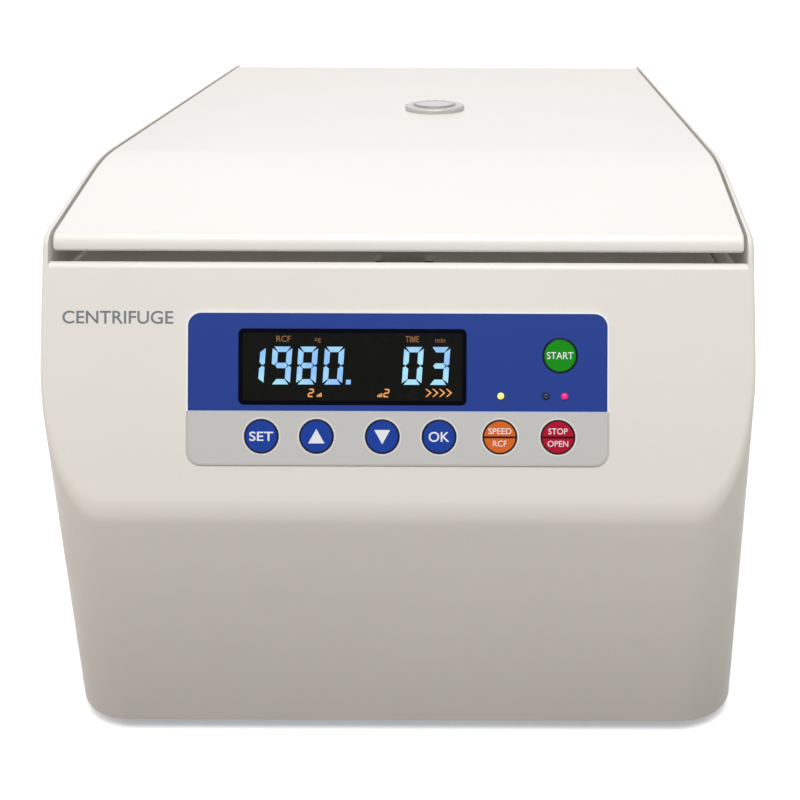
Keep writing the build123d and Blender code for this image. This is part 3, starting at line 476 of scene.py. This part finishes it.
# the rotor: bead-blasted, clear-anodised aluminium with turned rings
M_rotor = Mat("rotor_anodised")
x, y, z = M_rotor.xyz()
ry = M_rotor.maths("SUBTRACT", y, 0.036)
rr = M_rotor.maths("SQRT", M_rotor.maths("ADD", M_rotor.maths("MULTIPLY", x, x), M_rotor.maths("MULTIPLY", ry, ry)))
comb = M_rotor.node("ShaderNodeCombineXYZ")
M_rotor.link(M_rotor.maths("MULTIPLY", rr, 2200.0), comb.inputs[0])
M_rotor.link(M_rotor.maths("MULTIPLY", z, 2200.0), comb.inputs[1])
ring = M_rotor.noise(1.0, 3, 0.6, vec=comb.outputs[0])
cloud = M_rotor.noise(24.0, 4, 0.6)
bc = M_rotor.ramp(cloud, [(0.3, (0.36, 0.37, 0.39, 1)), (0.7, (0.46, 0.47, 0.49, 1))])
M_rotor.base(M_rotor.mix(M_rotor.remap(ring, 0.0, 0.25, 0.35, 0.7), bc, (0.24, 0.245, 0.26, 1)))
M_rotor.rough(M_rotor.remap(ring, 0.30, 0.46, 0.3, 0.7))
n1 = M_rotor.bump(ring, 0.5, 0.00001)
M_rotor.bump(M_rotor.noise(1600.0, 2), 0.5, 0.00002, under=n1)
M_rotor.set(Metallic=0.9)
use(M_rotor, "rotor_body")
use(plastic("rotor_knob_black", (0.02, 0.02, 0.022), rough=0.3, grain=900, grain_d=0.00002, var=0.1), "rotor_nut")
use(plastic("sleeve_nylon_blue", (0.05, 0.13, 0.33), rough=0.5, grain=1200, grain_d=0.00004, var=0.06), "tube_sleeves")

M_tube = Mat("tube_polypropylene")
tv = M_tube.noise(90.0, 3)
M_tube.base(M_tube.ramp(tv, [(0.3, (0.76, 0.80, 0.82, 1)), (0.7, (0.84, 0.87, 0.88, 1))]))
M_tube.rough(M_tube.remap(tv, 0.22, 0.36))
M_tube.bump(M_tube.noise(900.0, 2), 0.4, 0.00001)
M_tube.set(Transmission_Weight=0.55, IOR=1.49)
use(M_tube, "sample_tubes")
use(plastic("cap_red_polyethylene", (0.52, 0.035, 0.03), rough=0.42, grain=1100, grain_d=0.00003, var=0.06), "tube_caps")

# control film: blue above, grey below, a pale line round it and between them
P2 = Vector((0.0, -0.2098, 0.2365))
TILT = RAD(24.0)
U = Vector((1, 0, 0))
V = Vector((0, math.sin(TILT), math.cos(TILT)))
N = Vector((0, -math.cos(TILT), math.sin(TILT)))


def face(u, v, n=0.0):
    """A point on the control face, from millimetres across, up and out of it."""
    return P2 + U * (u * MM) + V * (v * MM) + N * (n * MM)


def out_of_face(name):
    return max((v.co - P2).dot(N) for v in NODES[name].data.vertices) / MM


FILM_TOP = out_of_face("membrane_panel")
GLASS_TOP = out_of_face("display_window")
print("film top", FILM_TOP, "glass top", GLASS_TOP, "key top", out_of_face("button_set"), "start", out_of_face("button_start"), "led", out_of_face("indicator_leds"))

M_film = Mat("printed_film")
x, y, z = M_film.xyz()
yo = M_film.maths("SUBTRACT", y, P2.y)
zo = M_film.maths("SUBTRACT", z, P2.z)
vv = M_film.maths("ADD", M_film.maths("MULTIPLY", yo, V.y * 1000), M_film.maths("MULTIPLY", zo, V.z * 1000))
uu = M_film.maths("MULTIPLY", x, 1000.0)
vc = M_film.maths("ADD", vv, 58.9)
R = 6.4
dx = M_film.maths("SUBTRACT", M_film.maths("ABSOLUTE", uu), 99.8 - R)
dy = M_film.maths("SUBTRACT", M_film.maths("ABSOLUTE", vc), 35.9 - R)
mx = M_film.maths("MAXIMUM", dx, 0.0)
my = M_film.maths("MAXIMUM", dy, 0.0)
dist = M_film.maths("SQRT", M_film.maths("ADD", M_film.maths("MULTIPLY", mx, mx), M_film.maths("MULTIPLY", my, my)))
inner = M_film.maths("MINIMUM", M_film.maths("MAXIMUM", dx, dy), 0.0)
sd = M_film.maths("SUBTRACT", M_film.maths("ADD", dist, inner), R)  # 0 at the film's edge, negative inside
edge = M_film.remap(sd, 0.0, 1.0, -0.98, -0.86)
split = M_film.remap(vv, 0.0, 1.0, -69.75, -69.65)
line = M_film.remap(M_film.maths("ABSOLUTE", M_film.maths("ADD", vv, 70.0)), 1.0, 0.0, 0.25, 0.4)
print_var = M_film.noise(900.0, 2)
blue = M_film.mix(M_film.remap(print_var, 0.0, 0.12, 0.3, 0.7), lin(38, 66, 152), lin(29, 54, 136))
grey = M_film.mix(M_film.remap(print_var, 0.0, 0.12, 0.3, 0.7), lin(206, 206, 206), lin(192, 192, 194))
rim_dark = M_film.remap(sd, 0.0, 0.75, -0.8, -0.1)
blue = M_film.mix(M_film.maths("MULTIPLY", rim_dark, 0.8), blue, lin(18, 26, 66))
col = M_film.mix(split, grey, blue)
col = M_film.mix(line, col, lin(196, 202, 226))
M_film.base(col)
M_film.rough(M_film.remap(M_film.noise(1500.0, 2), 0.30, 0.42))
M_film.bump(M_film.noise(2600.0, 2), 0.4, 0.00001)
M_film.set(Specular_IOR_Level=0.45)
use(M_film, "membrane_panel")

# display window: smoked acrylic with a black printed border
M_glass = Mat("smoked_display")
gx, gy, gz = M_glass.xyz()
gyo = M_glass.maths("SUBTRACT", gy, P2.y)
gzo = M_glass.maths("SUBTRACT", gz, P2.z)
gv = M_glass.maths("ADD", M_glass.maths("MULTIPLY", gyo, V.y * 1000), M_glass.maths("MULTIPLY", gzo, V.z * 1000))
gu = M_glass.maths("MULTIPLY", gx, 1000.0)
du = M_glass.maths("SUBTRACT", M_glass.maths("ABSOLUTE", M_glass.maths("ADD", gu, 21.5)), 54.3)
dv = M_glass.maths("SUBTRACT", M_glass.maths("ABSOLUTE", M_glass.maths("ADD", gv, 48.7)), 18.2)
border = M_glass.remap(M_glass.maths("MAXIMUM", du, dv), 0.0, 1.0, -2.3, -2.0)
fleck = M_glass.noise(240.0, 3)
inside = M_glass.ramp(fleck, [(0.3, lin(20, 21, 20)), (0.7, lin(25, 26, 24))])
M_glass.base(M_glass.mix(border, inside, lin(5, 5, 18)))
M_glass.rough(M_glass.remap(M_glass.noise(60.0, 3), 0.10, 0.18))
M_glass.bump(M_glass.noise(14.0, 1), 0.3, 0.00003)
M_glass.set(Specular_IOR_Level=0.35)
use(M_glass, "display_window")

# lamps: each its own colour, by place
M_led = Mat("lamp_epoxy")
lx, ly, lz = M_led.xyz()
lu = M_led.maths("MULTIPLY", lx, 1000.0)
is_dark = M_led.maths("MULTIPLY", M_led.maths("GREATER_THAN", lu, 60.0), M_led.maths("LESS_THAN", lu, 75.0))
is_pink = M_led.maths("GREATER_THAN", lu, 75.0)
spot = M_led.noise(1800.0, 2)
lc = M_led.mix(M_led.remap(spot, 0.0, 0.5, 0.3, 0.7), lin(255, 250, 110), lin(255, 244, 150))
lc = M_led.mix(is_dark, lc, lin(48, 50, 62))
lc = M_led.mix(is_pink, lc, lin(224, 32, 122))
M_led.base(lc)
M_led.link(lc, M_led.b.inputs["Emission Color"])
M_led.link(M_led.maths("MULTIPLY", M_led.maths("SUBTRACT", 1.0, is_dark), 0.55), M_led.b.inputs["Emission Strength"])
M_led.rough(M_led.remap(spot, 0.15, 0.3))
use(M_led, "indicator_leds")

# clear parts of the lid window; the lens carries a painted shade ring, darkest on its front side
M_clear = Mat("clear_acrylic_lens")
cv = M_clear.noise(40.0, 2)
w_lo, w_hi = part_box("window_lens")
w_mid = (w_lo + w_hi) / 2
w_out = (w_hi.x - w_lo.x) / 2
wx, wy, _ = M_clear.xyz()
wx = M_clear.maths("SUBTRACT", wx, w_mid.x)
wy = M_clear.maths("SUBTRACT", wy, w_mid.y)
wr = M_clear.maths("DIVIDE", M_clear.maths("SQRT", M_clear.maths("ADD", M_clear.maths("MULTIPLY", wx, wx), M_clear.maths("MULTIPLY", wy, wy))), w_out)
# painted shade: a dark ring across the lens, deeper towards the front
lens_painted_shade_ring = M_clear.maths("MULTIPLY", M_clear.remap(wr, 0.0, 1.0, 0.58, 0.65), M_clear.remap(wr, 1.0, 0.0, 0.73, 0.78))
lens_painted_shade_ring = M_clear.maths("MULTIPLY", lens_painted_shade_ring, M_clear.remap(wy, 0.8, 0.15, -0.005, 0.003))
M_clear.base(M_clear.mix(lens_painted_shade_ring, M_clear.ramp(cv, [(0.3, (0.84, 0.83, 0.80, 1)), (0.7, (0.90, 0.89, 0.86, 1))]), (0.30, 0.29, 0.26, 1)))
M_clear.rough(M_clear.remap(M_clear.noise(300.0, 3), 0.05, 0.14))
M_clear.bump(M_clear.noise(120.0, 2), 0.3, 0.00002)
M_clear.set(Transmission_Weight=0.35, IOR=1.49)
use(M_clear, "window_lens", "window_pane")


# keys: domed caps with a dark printed rim
def key_material(name, node, col, rim):
    lo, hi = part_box(node)
    c = (lo + hi) / 2
    m = Mat(name)
    kx, ky, kz = m.xyz()
    kyo = m.maths("SUBTRACT", ky, P2.y)
    kzo = m.maths("SUBTRACT", kz, P2.z)
    kv = m.maths("ADD", m.maths("MULTIPLY", kyo, V.y * 1000), m.maths("MULTIPLY", kzo, V.z * 1000))
    ku = m.maths("MULTIPLY", kx, 1000.0)
    cu, cv_ = KEYS[node]
    a = m.maths("SUBTRACT", ku, cu)
    b = m.maths("SUBTRACT", kv, cv_)
    r = m.maths("SQRT", m.maths("ADD", m.maths("MULTIPLY", a, a), m.maths("MULTIPLY", b, b)))
    mask = m.remap(r, 0.0, 1.0, 7.35, 7.5)
    if node in SPLIT_KEYS:
        bar = m.remap(m.maths("ABSOLUTE", m.maths("ADD", b, 0.1)), 1.0, 0.0, 0.42, 0.55)
        mask = m.maths("MAXIMUM", mask, bar)
    fine = m.noise(700.0, 2)
    cc = m.mix(m.remap(fine, 0.0, 0.15, 0.3, 0.7), col, scale_col(col, 0.8))
    m.base(m.mix(mask, cc, rim))
    m.rough(m.remap(m.noise(300.0, 3), 0.26, 0.40))
    m.bump(m.noise(2200.0, 2), 0.4, 0.00001)
    m.set(Specular_IOR_Level=0.45)
    use(m, node)


KEYS = {
    "button_set": (-64.7, -81.8), "button_up": (-38.5, -81.8), "button_down": (-7.2, -81.8),
    "button_ok": (19.8, -81.8), "button_speed_rcf": (48.7, -81.8), "button_stop_open": (76.3, -81.8),
    "button_start": (77.2, -43.0),
}
SPLIT_KEYS = ("button_speed_rcf", "button_stop_open")
for k in ("button_set", "button_up", "button_down", "button_ok"):
    key_material("key_print_" + k, k, lin(26, 66, 164), lin(4, 12, 48))
key_material("key_print_speed", "button_speed_rcf", lin(224, 108, 38), lin(44, 18, 10))
key_material("key_print_stop", "button_stop_open", lin(184, 12, 48), lin(46, 4, 14))
key_material("key_print_start", "button_start", lin(16, 146, 14), lin(4, 36, 30))

# ---------------------------------------------------------------- moulded case with its soft crease


def clamp01(t):
    return 0.0 if t < 0 else 1.0 if t > 1 else t


def plan_distance(x, y, z):
    """Millimetres outside the drafted plan outline of the case."""
    t = math.tan(RAD(1.0)) * (z - 7.0)
    if y < 0:
        r, qx, qy = 33.0 - t, abs(x) - 141.0, -(y + 227.0)
    else:
        r, qx, qy = 10.0 - t, abs(x) - 164.0, y - 250.0
    return math.hypot(max(qx, 0.0), max(qy, 0.0)) + min(max(qx, qy), 0.0) - r


CP = (0.0, -209.8, 236.5)
SN, CS = math.sin(RAD(24.0)), math.cos(RAD(24.0))


def panel_distance(x, y, z):
    return -(y - CP[1]) * CS + (z - CP[2]) * SN


def round_max(a, b, r):
    return min(-r, max(a, b)) + math.hypot(max(r + a, 0.0), max(r + b, 0.0))


def case_f(x, y, z):
    s = clamp01((z - 150.0) / 60.0)
    r = 2.3 + (2.0 - 2.3) * s * s * (3 - 2 * s)
    return round_max(plan_distance(x, y, z), panel_distance(x, y, z), r)


def soft_case():
    bm = bmesh.new()
    bm.from_mesh(NODES["body_shell"].data)
    bmesh.ops.remove_doubles(bm, verts=bm.verts, dist=2e-6)

    def skin(v):
        x, y, z = (c * 1000 for c in v.co)
        return y < -150 and max(plan_distance(x, y, z), panel_distance(x, y, z)) > -1.25

    def region():
        faces = [f for f in bm.faces if all(skin(v) for v in f.verts)]
        edges = {e for f in faces for e in f.edges}
        verts = {v for f in faces for v in f.verts}
        return list(verts) + list(edges) + faces

    live = [region()]

    def cut(co, no):
        ret = bmesh.ops.bisect_plane(bm, geom=live[0], dist=1e-5, plane_co=[c / 1000 for c in co], plane_no=no)
        live[0] = ret["geom"]

    ks = (2.6, 2.2, 1.8, 1.4, 1.05, 0.75, 0.45, 0.2)
    # lines on the walls at a constant depth under the control plane
    for k in ks:
        cut((0, CP[1] + CS * k, CP[2] - SN * k), (0, -CS, SN))
    # lines on the control plane at a constant distance in from the outline
    for k in ks:
        cut((0, -260.0 + k, 7.0), (0, -1, math.tan(RAD(1.0))))
        for sx in (-1, 1):
            cut((sx * (174.0 - k), 0, 7.0), (sx, 0, math.tan(RAD(1.0))))
            for a in range(9, 90, 9):
                nx, ny = sx * math.sin(RAD(a)), -math.cos(RAD(a))
                cut((sx * 141.0 + nx * (33.0 - k), -227.0 + ny * (33.0 - k), 7.0), (nx, ny, math.tan(RAD(1.0))))
    # steps round the two front corners
    for sx in (-1, 1):
        near = [g for g in live[0] if isinstance(g, bmesh.types.BMFace) and all(v.co.x * sx > 0.1405 and v.co.y < -0.2265 for v in g.verts)]
        edges = {e for f in near for e in f.edges}
        verts = {v for f in near for v in f.verts}
        geom = list(verts) + list(edges) + near
        for a in range(3, 90, 4):
            ret = bmesh.ops.bisect_plane(bm, geom=geom, dist=1e-5, plane_co=(sx * 0.141, -0.227, 0),
                                         plane_no=(sx * math.cos(RAD(a)), math.sin(RAD(a)), 0))
            geom = ret["geom"]
    moved = 0
    for v in bm.verts:
        if not skin(v):
            continue
        x, y, z = (c * 1000 for c in v.co)
        if z < 7.2 or plan_distance(x, y, z) < -14 or panel_distance(x, y, z) < -60 and plan_distance(x, y, z) < -0.6:
            continue
        if abs(x) > 166.0 and z > 222.0:
            continue
        for _ in range(4):
            f = case_f(x, y, z)
            h = 0.02
            gx = (case_f(x + h, y, z) - case_f(x - h, y, z)) / (2 * h)
            gy = (case_f(x, y + h, z) - case_f(x, y - h, z)) / (2 * h)
            gz = (case_f(x, y, z + h) - case_f(x, y, z - h)) / (2 * h)
            g2 = gx * gx + gy * gy + gz * gz
            if g2 < 0.2 or abs(f) > 2.5:
                break
            x, y, z = x - f * gx / g2, y - f * gy / g2, z - f * gz / g2
        moved += 1
        v.co = (x / 1000, y / 1000, z / 1000)
    bmesh.ops.remove_doubles(bm, verts=bm.verts, dist=4e-5)
    bmesh.ops.triangulate(bm, faces=[f for f in bm.faces if len(f.verts) > 4])
    bmesh.ops.dissolve_degenerate(bm, dist=1e-6, edges=bm.edges)
    for e in bm.edges:
        e.smooth = len(e.link_faces) == 2 and e.calc_face_angle(3.0) < RAD(32)
    print("soft case: moved", moved, "verts", len(bm.verts), "faces", len(bm.faces), "open edges", sum(1 for e in bm.edges if len(e.link_faces) != 2))
    o = new_piece("case_moulding", bm, M_case, "case")
    w = o.modifiers.new("weighted_normals", "WEIGHTED_NORMAL")
    w.keep_sharp = True
    w.weight = 60
    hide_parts("body_shell")
    return o


soft_case()

# ---------------------------------------------------------------- printed marks on the control face


def ink(name, col, emit=0.0, rough=0.4):
    m = Mat(name)
    f = m.noise(1400.0, 2)
    c = m.mix(m.remap(f, 0.0, 0.25, 0.3, 0.7), col, scale_col(col, 0.86))
    m.base(c)
    m.rough(m.remap(f, rough - 0.06, rough + 0.06))
    m.bump(f, 0.3, 0.000006)
    if emit:
        m.link(c, m.b.inputs["Emission Color"])
        m.b.inputs["Emission Strength"].default_value = emit
    return m


M_white = ink("legend_white", lin(240, 244, 252))
M_ring = ink("key_ring_white", lin(232, 230, 232))
M_digit = Mat("lit_digits")
dn = M_digit.noise(70.0, 2)
dc = M_digit.ramp(dn, [(0.38, lin(134, 184, 240)), (0.62, lin(160, 216, 238))])
M_digit.base(M_digit.mix(0.5, dc, (0.05, 0.08, 0.1, 1)))
M_digit.link(dc, M_digit.b.inputs["Emission Color"])
M_digit.b.inputs["Emission Strength"].default_value = 0.66
M_digit.rough(M_digit.remap(dn, 0.2, 0.3))
M_amber = ink("lit_amber", lin(226, 152, 88), emit=0.45)
M_amber_dim = ink("lit_amber_dim", lin(132, 92, 58), emit=0.25)
M_word = ink("case_word_grey", lin(124, 132, 138))


def plate(bm, pts, n0, n1):
    """A thin printed shape: an outline on the control face, from n0 to n1 millimetres out of it."""
    top = [bm.verts.new(face(u, v, n1)) for u, v in pts]
    low = [bm.verts.new(face(u, v, n0)) for u, v in pts]
    bm.faces.new(top)
    for i in range(len(pts)):
        j = (i + 1) % len(pts)
        bm.faces.new((top[j], top[i], low[i], low[j]))


def ccw(pts):
    a = sum(pts[i][0] * pts[(i + 1) % len(pts)][1] - pts[(i + 1) % len(pts)][0] * pts[i][1] for i in range(len(pts)))
    return pts if a > 0 else pts[::-1]


def annulus(name, cu, cv_, r0, r1, n0, n1, mat, body, seg=72):
    bm = bmesh.new()
    rows = []
    for r, n in ((r0, n0), (r0, n1), (r1, n1), (r1, n0)):
        rows.append([bm.verts.new(face(cu + r * math.cos(2 * math.pi * i / seg), cv_ + r * math.sin(2 * math.pi * i / seg), n)) for i in range(seg)])
    for a, b in zip(rows, rows[1:]):
        for i in range(seg):
            j = (i + 1) % seg
            bm.faces.new((a[i], b[i], b[j], a[j]))
    bmesh.ops.recalc_face_normals(bm, faces=bm.faces)
    return new_piece(name, bm, mat, body, smooth=False)


W_D, H_D, T_D, GAP, SLANT = 9.3, 18.0, 2.55, 0.16, 0.066
SEGS = {
    "0": "abcdef", "1": "bc", "2": "abged", "3": "abgcd", "8": "abcdefg", "9": "abfgcd",
}


def seg_shapes(w, h, t, gap):
    """Seven mitred bars of a digit centred on 0, 0."""
    x0, x1, y0, y1 = -w / 2, w / 2, -h / 2, h / 2
    m = t / 2
    k = 0.62 * t
    s = {}
    s["a"] = [(x0 + gap + 0.25 * t, y1), (x1 - gap - 0.25 * t, y1), (x1 - t - gap, y1 - t), (x0 + t + gap, y1 - t)]
    s["d"] = [(x0 + t + gap, y0 + t), (x1 - t - gap, y0 + t), (x1 - gap - 0.25 * t, y0), (x0 + gap + 0.25 * t, y0)]
    s["g"] = [(x0 + k + gap, 0), (x0 + t + gap, m), (x1 - t - gap, m), (x1 - k - gap, 0), (x1 - t - gap, -m), (x0 + t + gap, -m)]
    s["f"] = [(x0, y1 - 0.25 * t - gap), (x0 + t, y1 - t - gap), (x0 + t, m + gap), (x0 + 0.45 * t, gap), (x0, m * 0.5 + gap)]
    s["b"] = [(x1, y1 - 0.25 * t - gap), (x1, m * 0.5 + gap), (x1 - 0.45 * t, gap), (x1 - t, m + gap), (x1 - t, y1 - t - gap)]
    s["e"] = [(x0, y0 + 0.25 * t + gap), (x0, -m * 0.5 - gap), (x0 + 0.45 * t, -gap), (x0 + t, -m - gap), (x0 + t, y0 + t + gap)]
    s["c"] = [(x1, y0 + 0.25 * t + gap), (x1 - t, y0 + t + gap), (x1 - t, -m - gap), (x1 - 0.45 * t, -gap), (x1, -m * 0.5 - gap)]
    return s


def digit(bm, ch, cu, cv_, w=W_D, h=H_D, t=T_D, gap=GAP, slant=SLANT, n0=0.0, n1=0.03):
    shapes = seg_shapes(w, h, t, gap)
    for k in SEGS[ch]:
        pts = [(cu + x + slant * y, cv_ + y) for x, y in shapes[k]]
        plate(bm, ccw(pts), n0, n1)


g0, g1 = GLASS_TOP - 0.02, GLASS_TOP + 0.035
bm = bmesh.new()
DIG_V = -48.1
for ch, cu in (("1", -67.9), ("9", -55.3), ("8", -43.05), ("0", -30.5), ("0", 7.2), ("3", 19.8)):
    digit(bm, ch, cu, DIG_V, n0=g0, n1=g1)
plate(bm, ccw([(-24.65, -57.0), (-22.35, -57.0), (-22.2, -54.8), (-24.5, -54.8)]), g0, g1)
new_piece("display_digits", bm, M_digit, "case", smooth=False)

bm = bmesh.new()
for cu in (-41.2, -5.3):
    digit(bm, "2", cu, -61.1, w=2.7, h=4.0, t=0.62, gap=0.04, slant=0.1, n0=g0, n1=g1)
for k in range(4):
    u0 = 13.2 + 3.25 * k
    plate(bm, ccw([(u0, -59.0), (u0 + 0.75, -59.0), (u0 + 3.0, -60.9), (u0 + 0.75, -62.8), (u0, -62.8), (u0 + 2.05, -60.9)]), g0, g1)
for u0 in (-38.4, -9.6):
    for j, hh in enumerate((1.0, 1.5, 1.9)):
        plate(bm, ccw([(u0 + 0.85 * j, -63.0), (u0 + 0.85 * j + 0.6, -63.0), (u0 + 0.85 * j + 0.6, -63.0 + hh), (u0 + 0.85 * j, -63.0 + hh)]), g0, g1)
new_piece("display_symbols", bm, M_amber, "case", smooth=False)


def words(name, text, cu, cv_, height, n0, n1, mat, body, width=None, bold=0.0, spacing=1.0, align="CENTER"):
    """Lettering as a thin mesh on the control face; cu, cv_ is its centre (or its left end)."""
    cd = bpy.data.curves.new(name + "_curve", "FONT")
    cd.body = text
    cd.size = 1.0
    cd.offset = bold
    cd.space_character = spacing
    cd.resolution_u = 6
    tmp = bpy.data.objects.new(name + "_tmp", cd)
    scene.collection.objects.link(tmp)
    bpy.context.view_layer.update()
    me = bpy.data.meshes.new_from_object(tmp.evaluated_get(bpy.context.evaluated_depsgraph_get()))
    bpy.data.objects.remove(tmp)
    bm = bmesh.new()
    bm.from_mesh(me)
    bpy.data.meshes.remove(me)
    bmesh.ops.remove_doubles(bm, verts=bm.verts, dist=1e-5)
    bmesh.ops.dissolve_limit(bm, angle_limit=0.01, verts=bm.verts, edges=bm.edges)
    xs = [v.co.x for v in bm.verts]
    ys = [v.co.y for v in bm.verts]
    sy = height / (max(ys) - min(ys))
    sx = width / (max(xs) - min(xs)) if width else sy
    ox = (max(xs) + min(xs)) / 2 if align == "CENTER" else min(xs)
    oy = (max(ys) + min(ys)) / 2
    ret = bmesh.ops.extrude_face_region(bm, geom=list(bm.faces))
    upper = {g for g in ret["geom"] if isinstance(g, bmesh.types.BMVert)}
    for v in bm.verts:
        n = n1 if v in upper else n0
        v.co = face(cu + (v.co.x - ox) * sx, cv_ + (v.co.y - oy) * sy, n)
    bmesh.ops.recalc_face_normals(bm, faces=bm.faces)
    return new_piece(name, bm, mat, body, smooth=False)


words("display_word_rcf", "RCF", -54.3, -35.4, 2.9, g0, g1, M_amber_dim, "case", bold=0.01)
words("display_word_xg", "xg", -38.1, -36.1, 2.2, g0, g1, M_amber_dim, "case")
words("display_word_time", "TIME", 6.9, -35.4, 2.9, g0, g1, M_amber_dim, "case", bold=0.01, width=6.4)
words("display_word_min", "min", 20.2, -35.9, 2.2, g0, g1, M_amber_dim, "case")

f0, f1 = FILM_TOP - 0.02, FILM_TOP + 0.03
for k, (cu, cv_) in KEYS.items():
    if k == "button_start":
        annulus("ring_" + k, cu, cv_, 8.35, 8.55, f0, f1, ink("ring_dark_blue", lin(16, 34, 90)), "case")
    else:
        annulus("ring_" + k, cu, cv_, 8.35, 9.1, f0, f1, M_ring, "case")


def panel_outline(name, grow0, grow1, n0, n1, mat):
    """A narrow raised line round the film."""
    bm = bmesh.new()

    def loop(g, n):
        out = []
        r = 6.4 + g
        for cx, cy, a0 in ((93.4, -29.5, 0), (-93.4, -29.5, 90), (-93.4, -88.4, 180), (93.4, -88.4, 270)):
            for k in range(13):
                a = RAD(a0 + k * 7.5)
                out.append(bm.verts.new(face(cx + r * math.cos(a), cy + r * math.sin(a), n)))
        return out

    rows = [loop(grow0, n0), loop(grow0, n1), loop(grow1, n1), loop(grow1, n0)]
    for a, b in zip(rows, rows[1:]):
        for i in range(len(a)):
            j = (i + 1) % len(a)
            bm.faces.new((a[i], b[i], b[j], a[j]))
    bmesh.ops.recalc_face_normals(bm, faces=bm.faces)
    return new_piece(name, bm, mat, "case", smooth=False)


M_line = Mat("panel_line")
_, ely, elz = M_line.xyz()
elv = M_line.maths("ADD", M_line.maths("MULTIPLY", M_line.maths("SUBTRACT", ely, P2.y), V.y * 1000),
                   M_line.maths("MULTIPLY", M_line.maths("SUBTRACT", elz, P2.z), V.z * 1000))
eln = M_line.noise(1400.0, 2)
M_line.base(M_line.mix(M_line.remap(elv, 0.0, 1.0, -70.1, -69.8),
                       M_line.mix(M_line.remap(eln, 0.0, 0.4, 0.3, 0.7), lin(196, 195, 193), lin(186, 185, 183)),
                       M_line.mix(M_line.remap(eln, 0.0, 0.4, 0.3, 0.7), lin(248, 249, 252), lin(238, 240, 246))))
M_line.rough(M_line.remap(eln, 0.36, 0.44))
panel_outline("panel_edge_line", -0.05, 0.8, -0.02, FILM_TOP + 0.03, M_line)

KT = out_of_face("button_set")
k0, k1 = KT - 0.05, KT + 0.02
words("legend_set", "SET", -64.7, -81.8, 4.5, k0, k1, M_white, "button_set", bold=0.012, width=11.4)
words("legend_ok", "OK", 19.8, -81.8, 4.8, k0, k1, M_white, "button_ok", bold=0.012, width=9.9)
bm = bmesh.new()
plate(bm, ccw([(-42.4, -85.1), (-34.6, -85.1), (-38.5, -78.2)]), k0, k1)
new_piece("legend_up", bm, M_white, "button_up", smooth=False)
bm = bmesh.new()
plate(bm, ccw([(-11.0, -78.6), (-3.4, -78.6), (-7.2, -85.4)]), k0, k1)
new_piece("legend_down", bm, M_white, "button_down", smooth=False)
words("legend_speed", "SPEED", 48.7, -79.0, 2.9, k0, k1, M_white, "button_speed_rcf", bold=0.004, width=11.0)
words("legend_rcf", "RCF", 48.7, -84.9, 2.8, k0, k1, M_white, "button_speed_rcf", bold=0.004, width=6.6)
words("legend_stop", "STOP", 76.3, -79.0, 2.9, k0, k1, M_white, "button_stop_open", bold=0.004, width=9.2)
words("legend_open", "OPEN", 76.3, -84.9, 2.8, k0, k1, M_white, "button_stop_open", bold=0.004, width=9.8)
ST = out_of_face("button_start")
words("legend_start", "START", 77.2, -43.0, 3.4, ST - 0.05, ST + 0.02, M_white, "button_start", bold=0.006, width=12.6)
words("case_word", "CENTRIFUGE", -133.3, -25.4, 6.2, -0.02, 0.06, M_word, "case", bold=0.01, width=52.8)
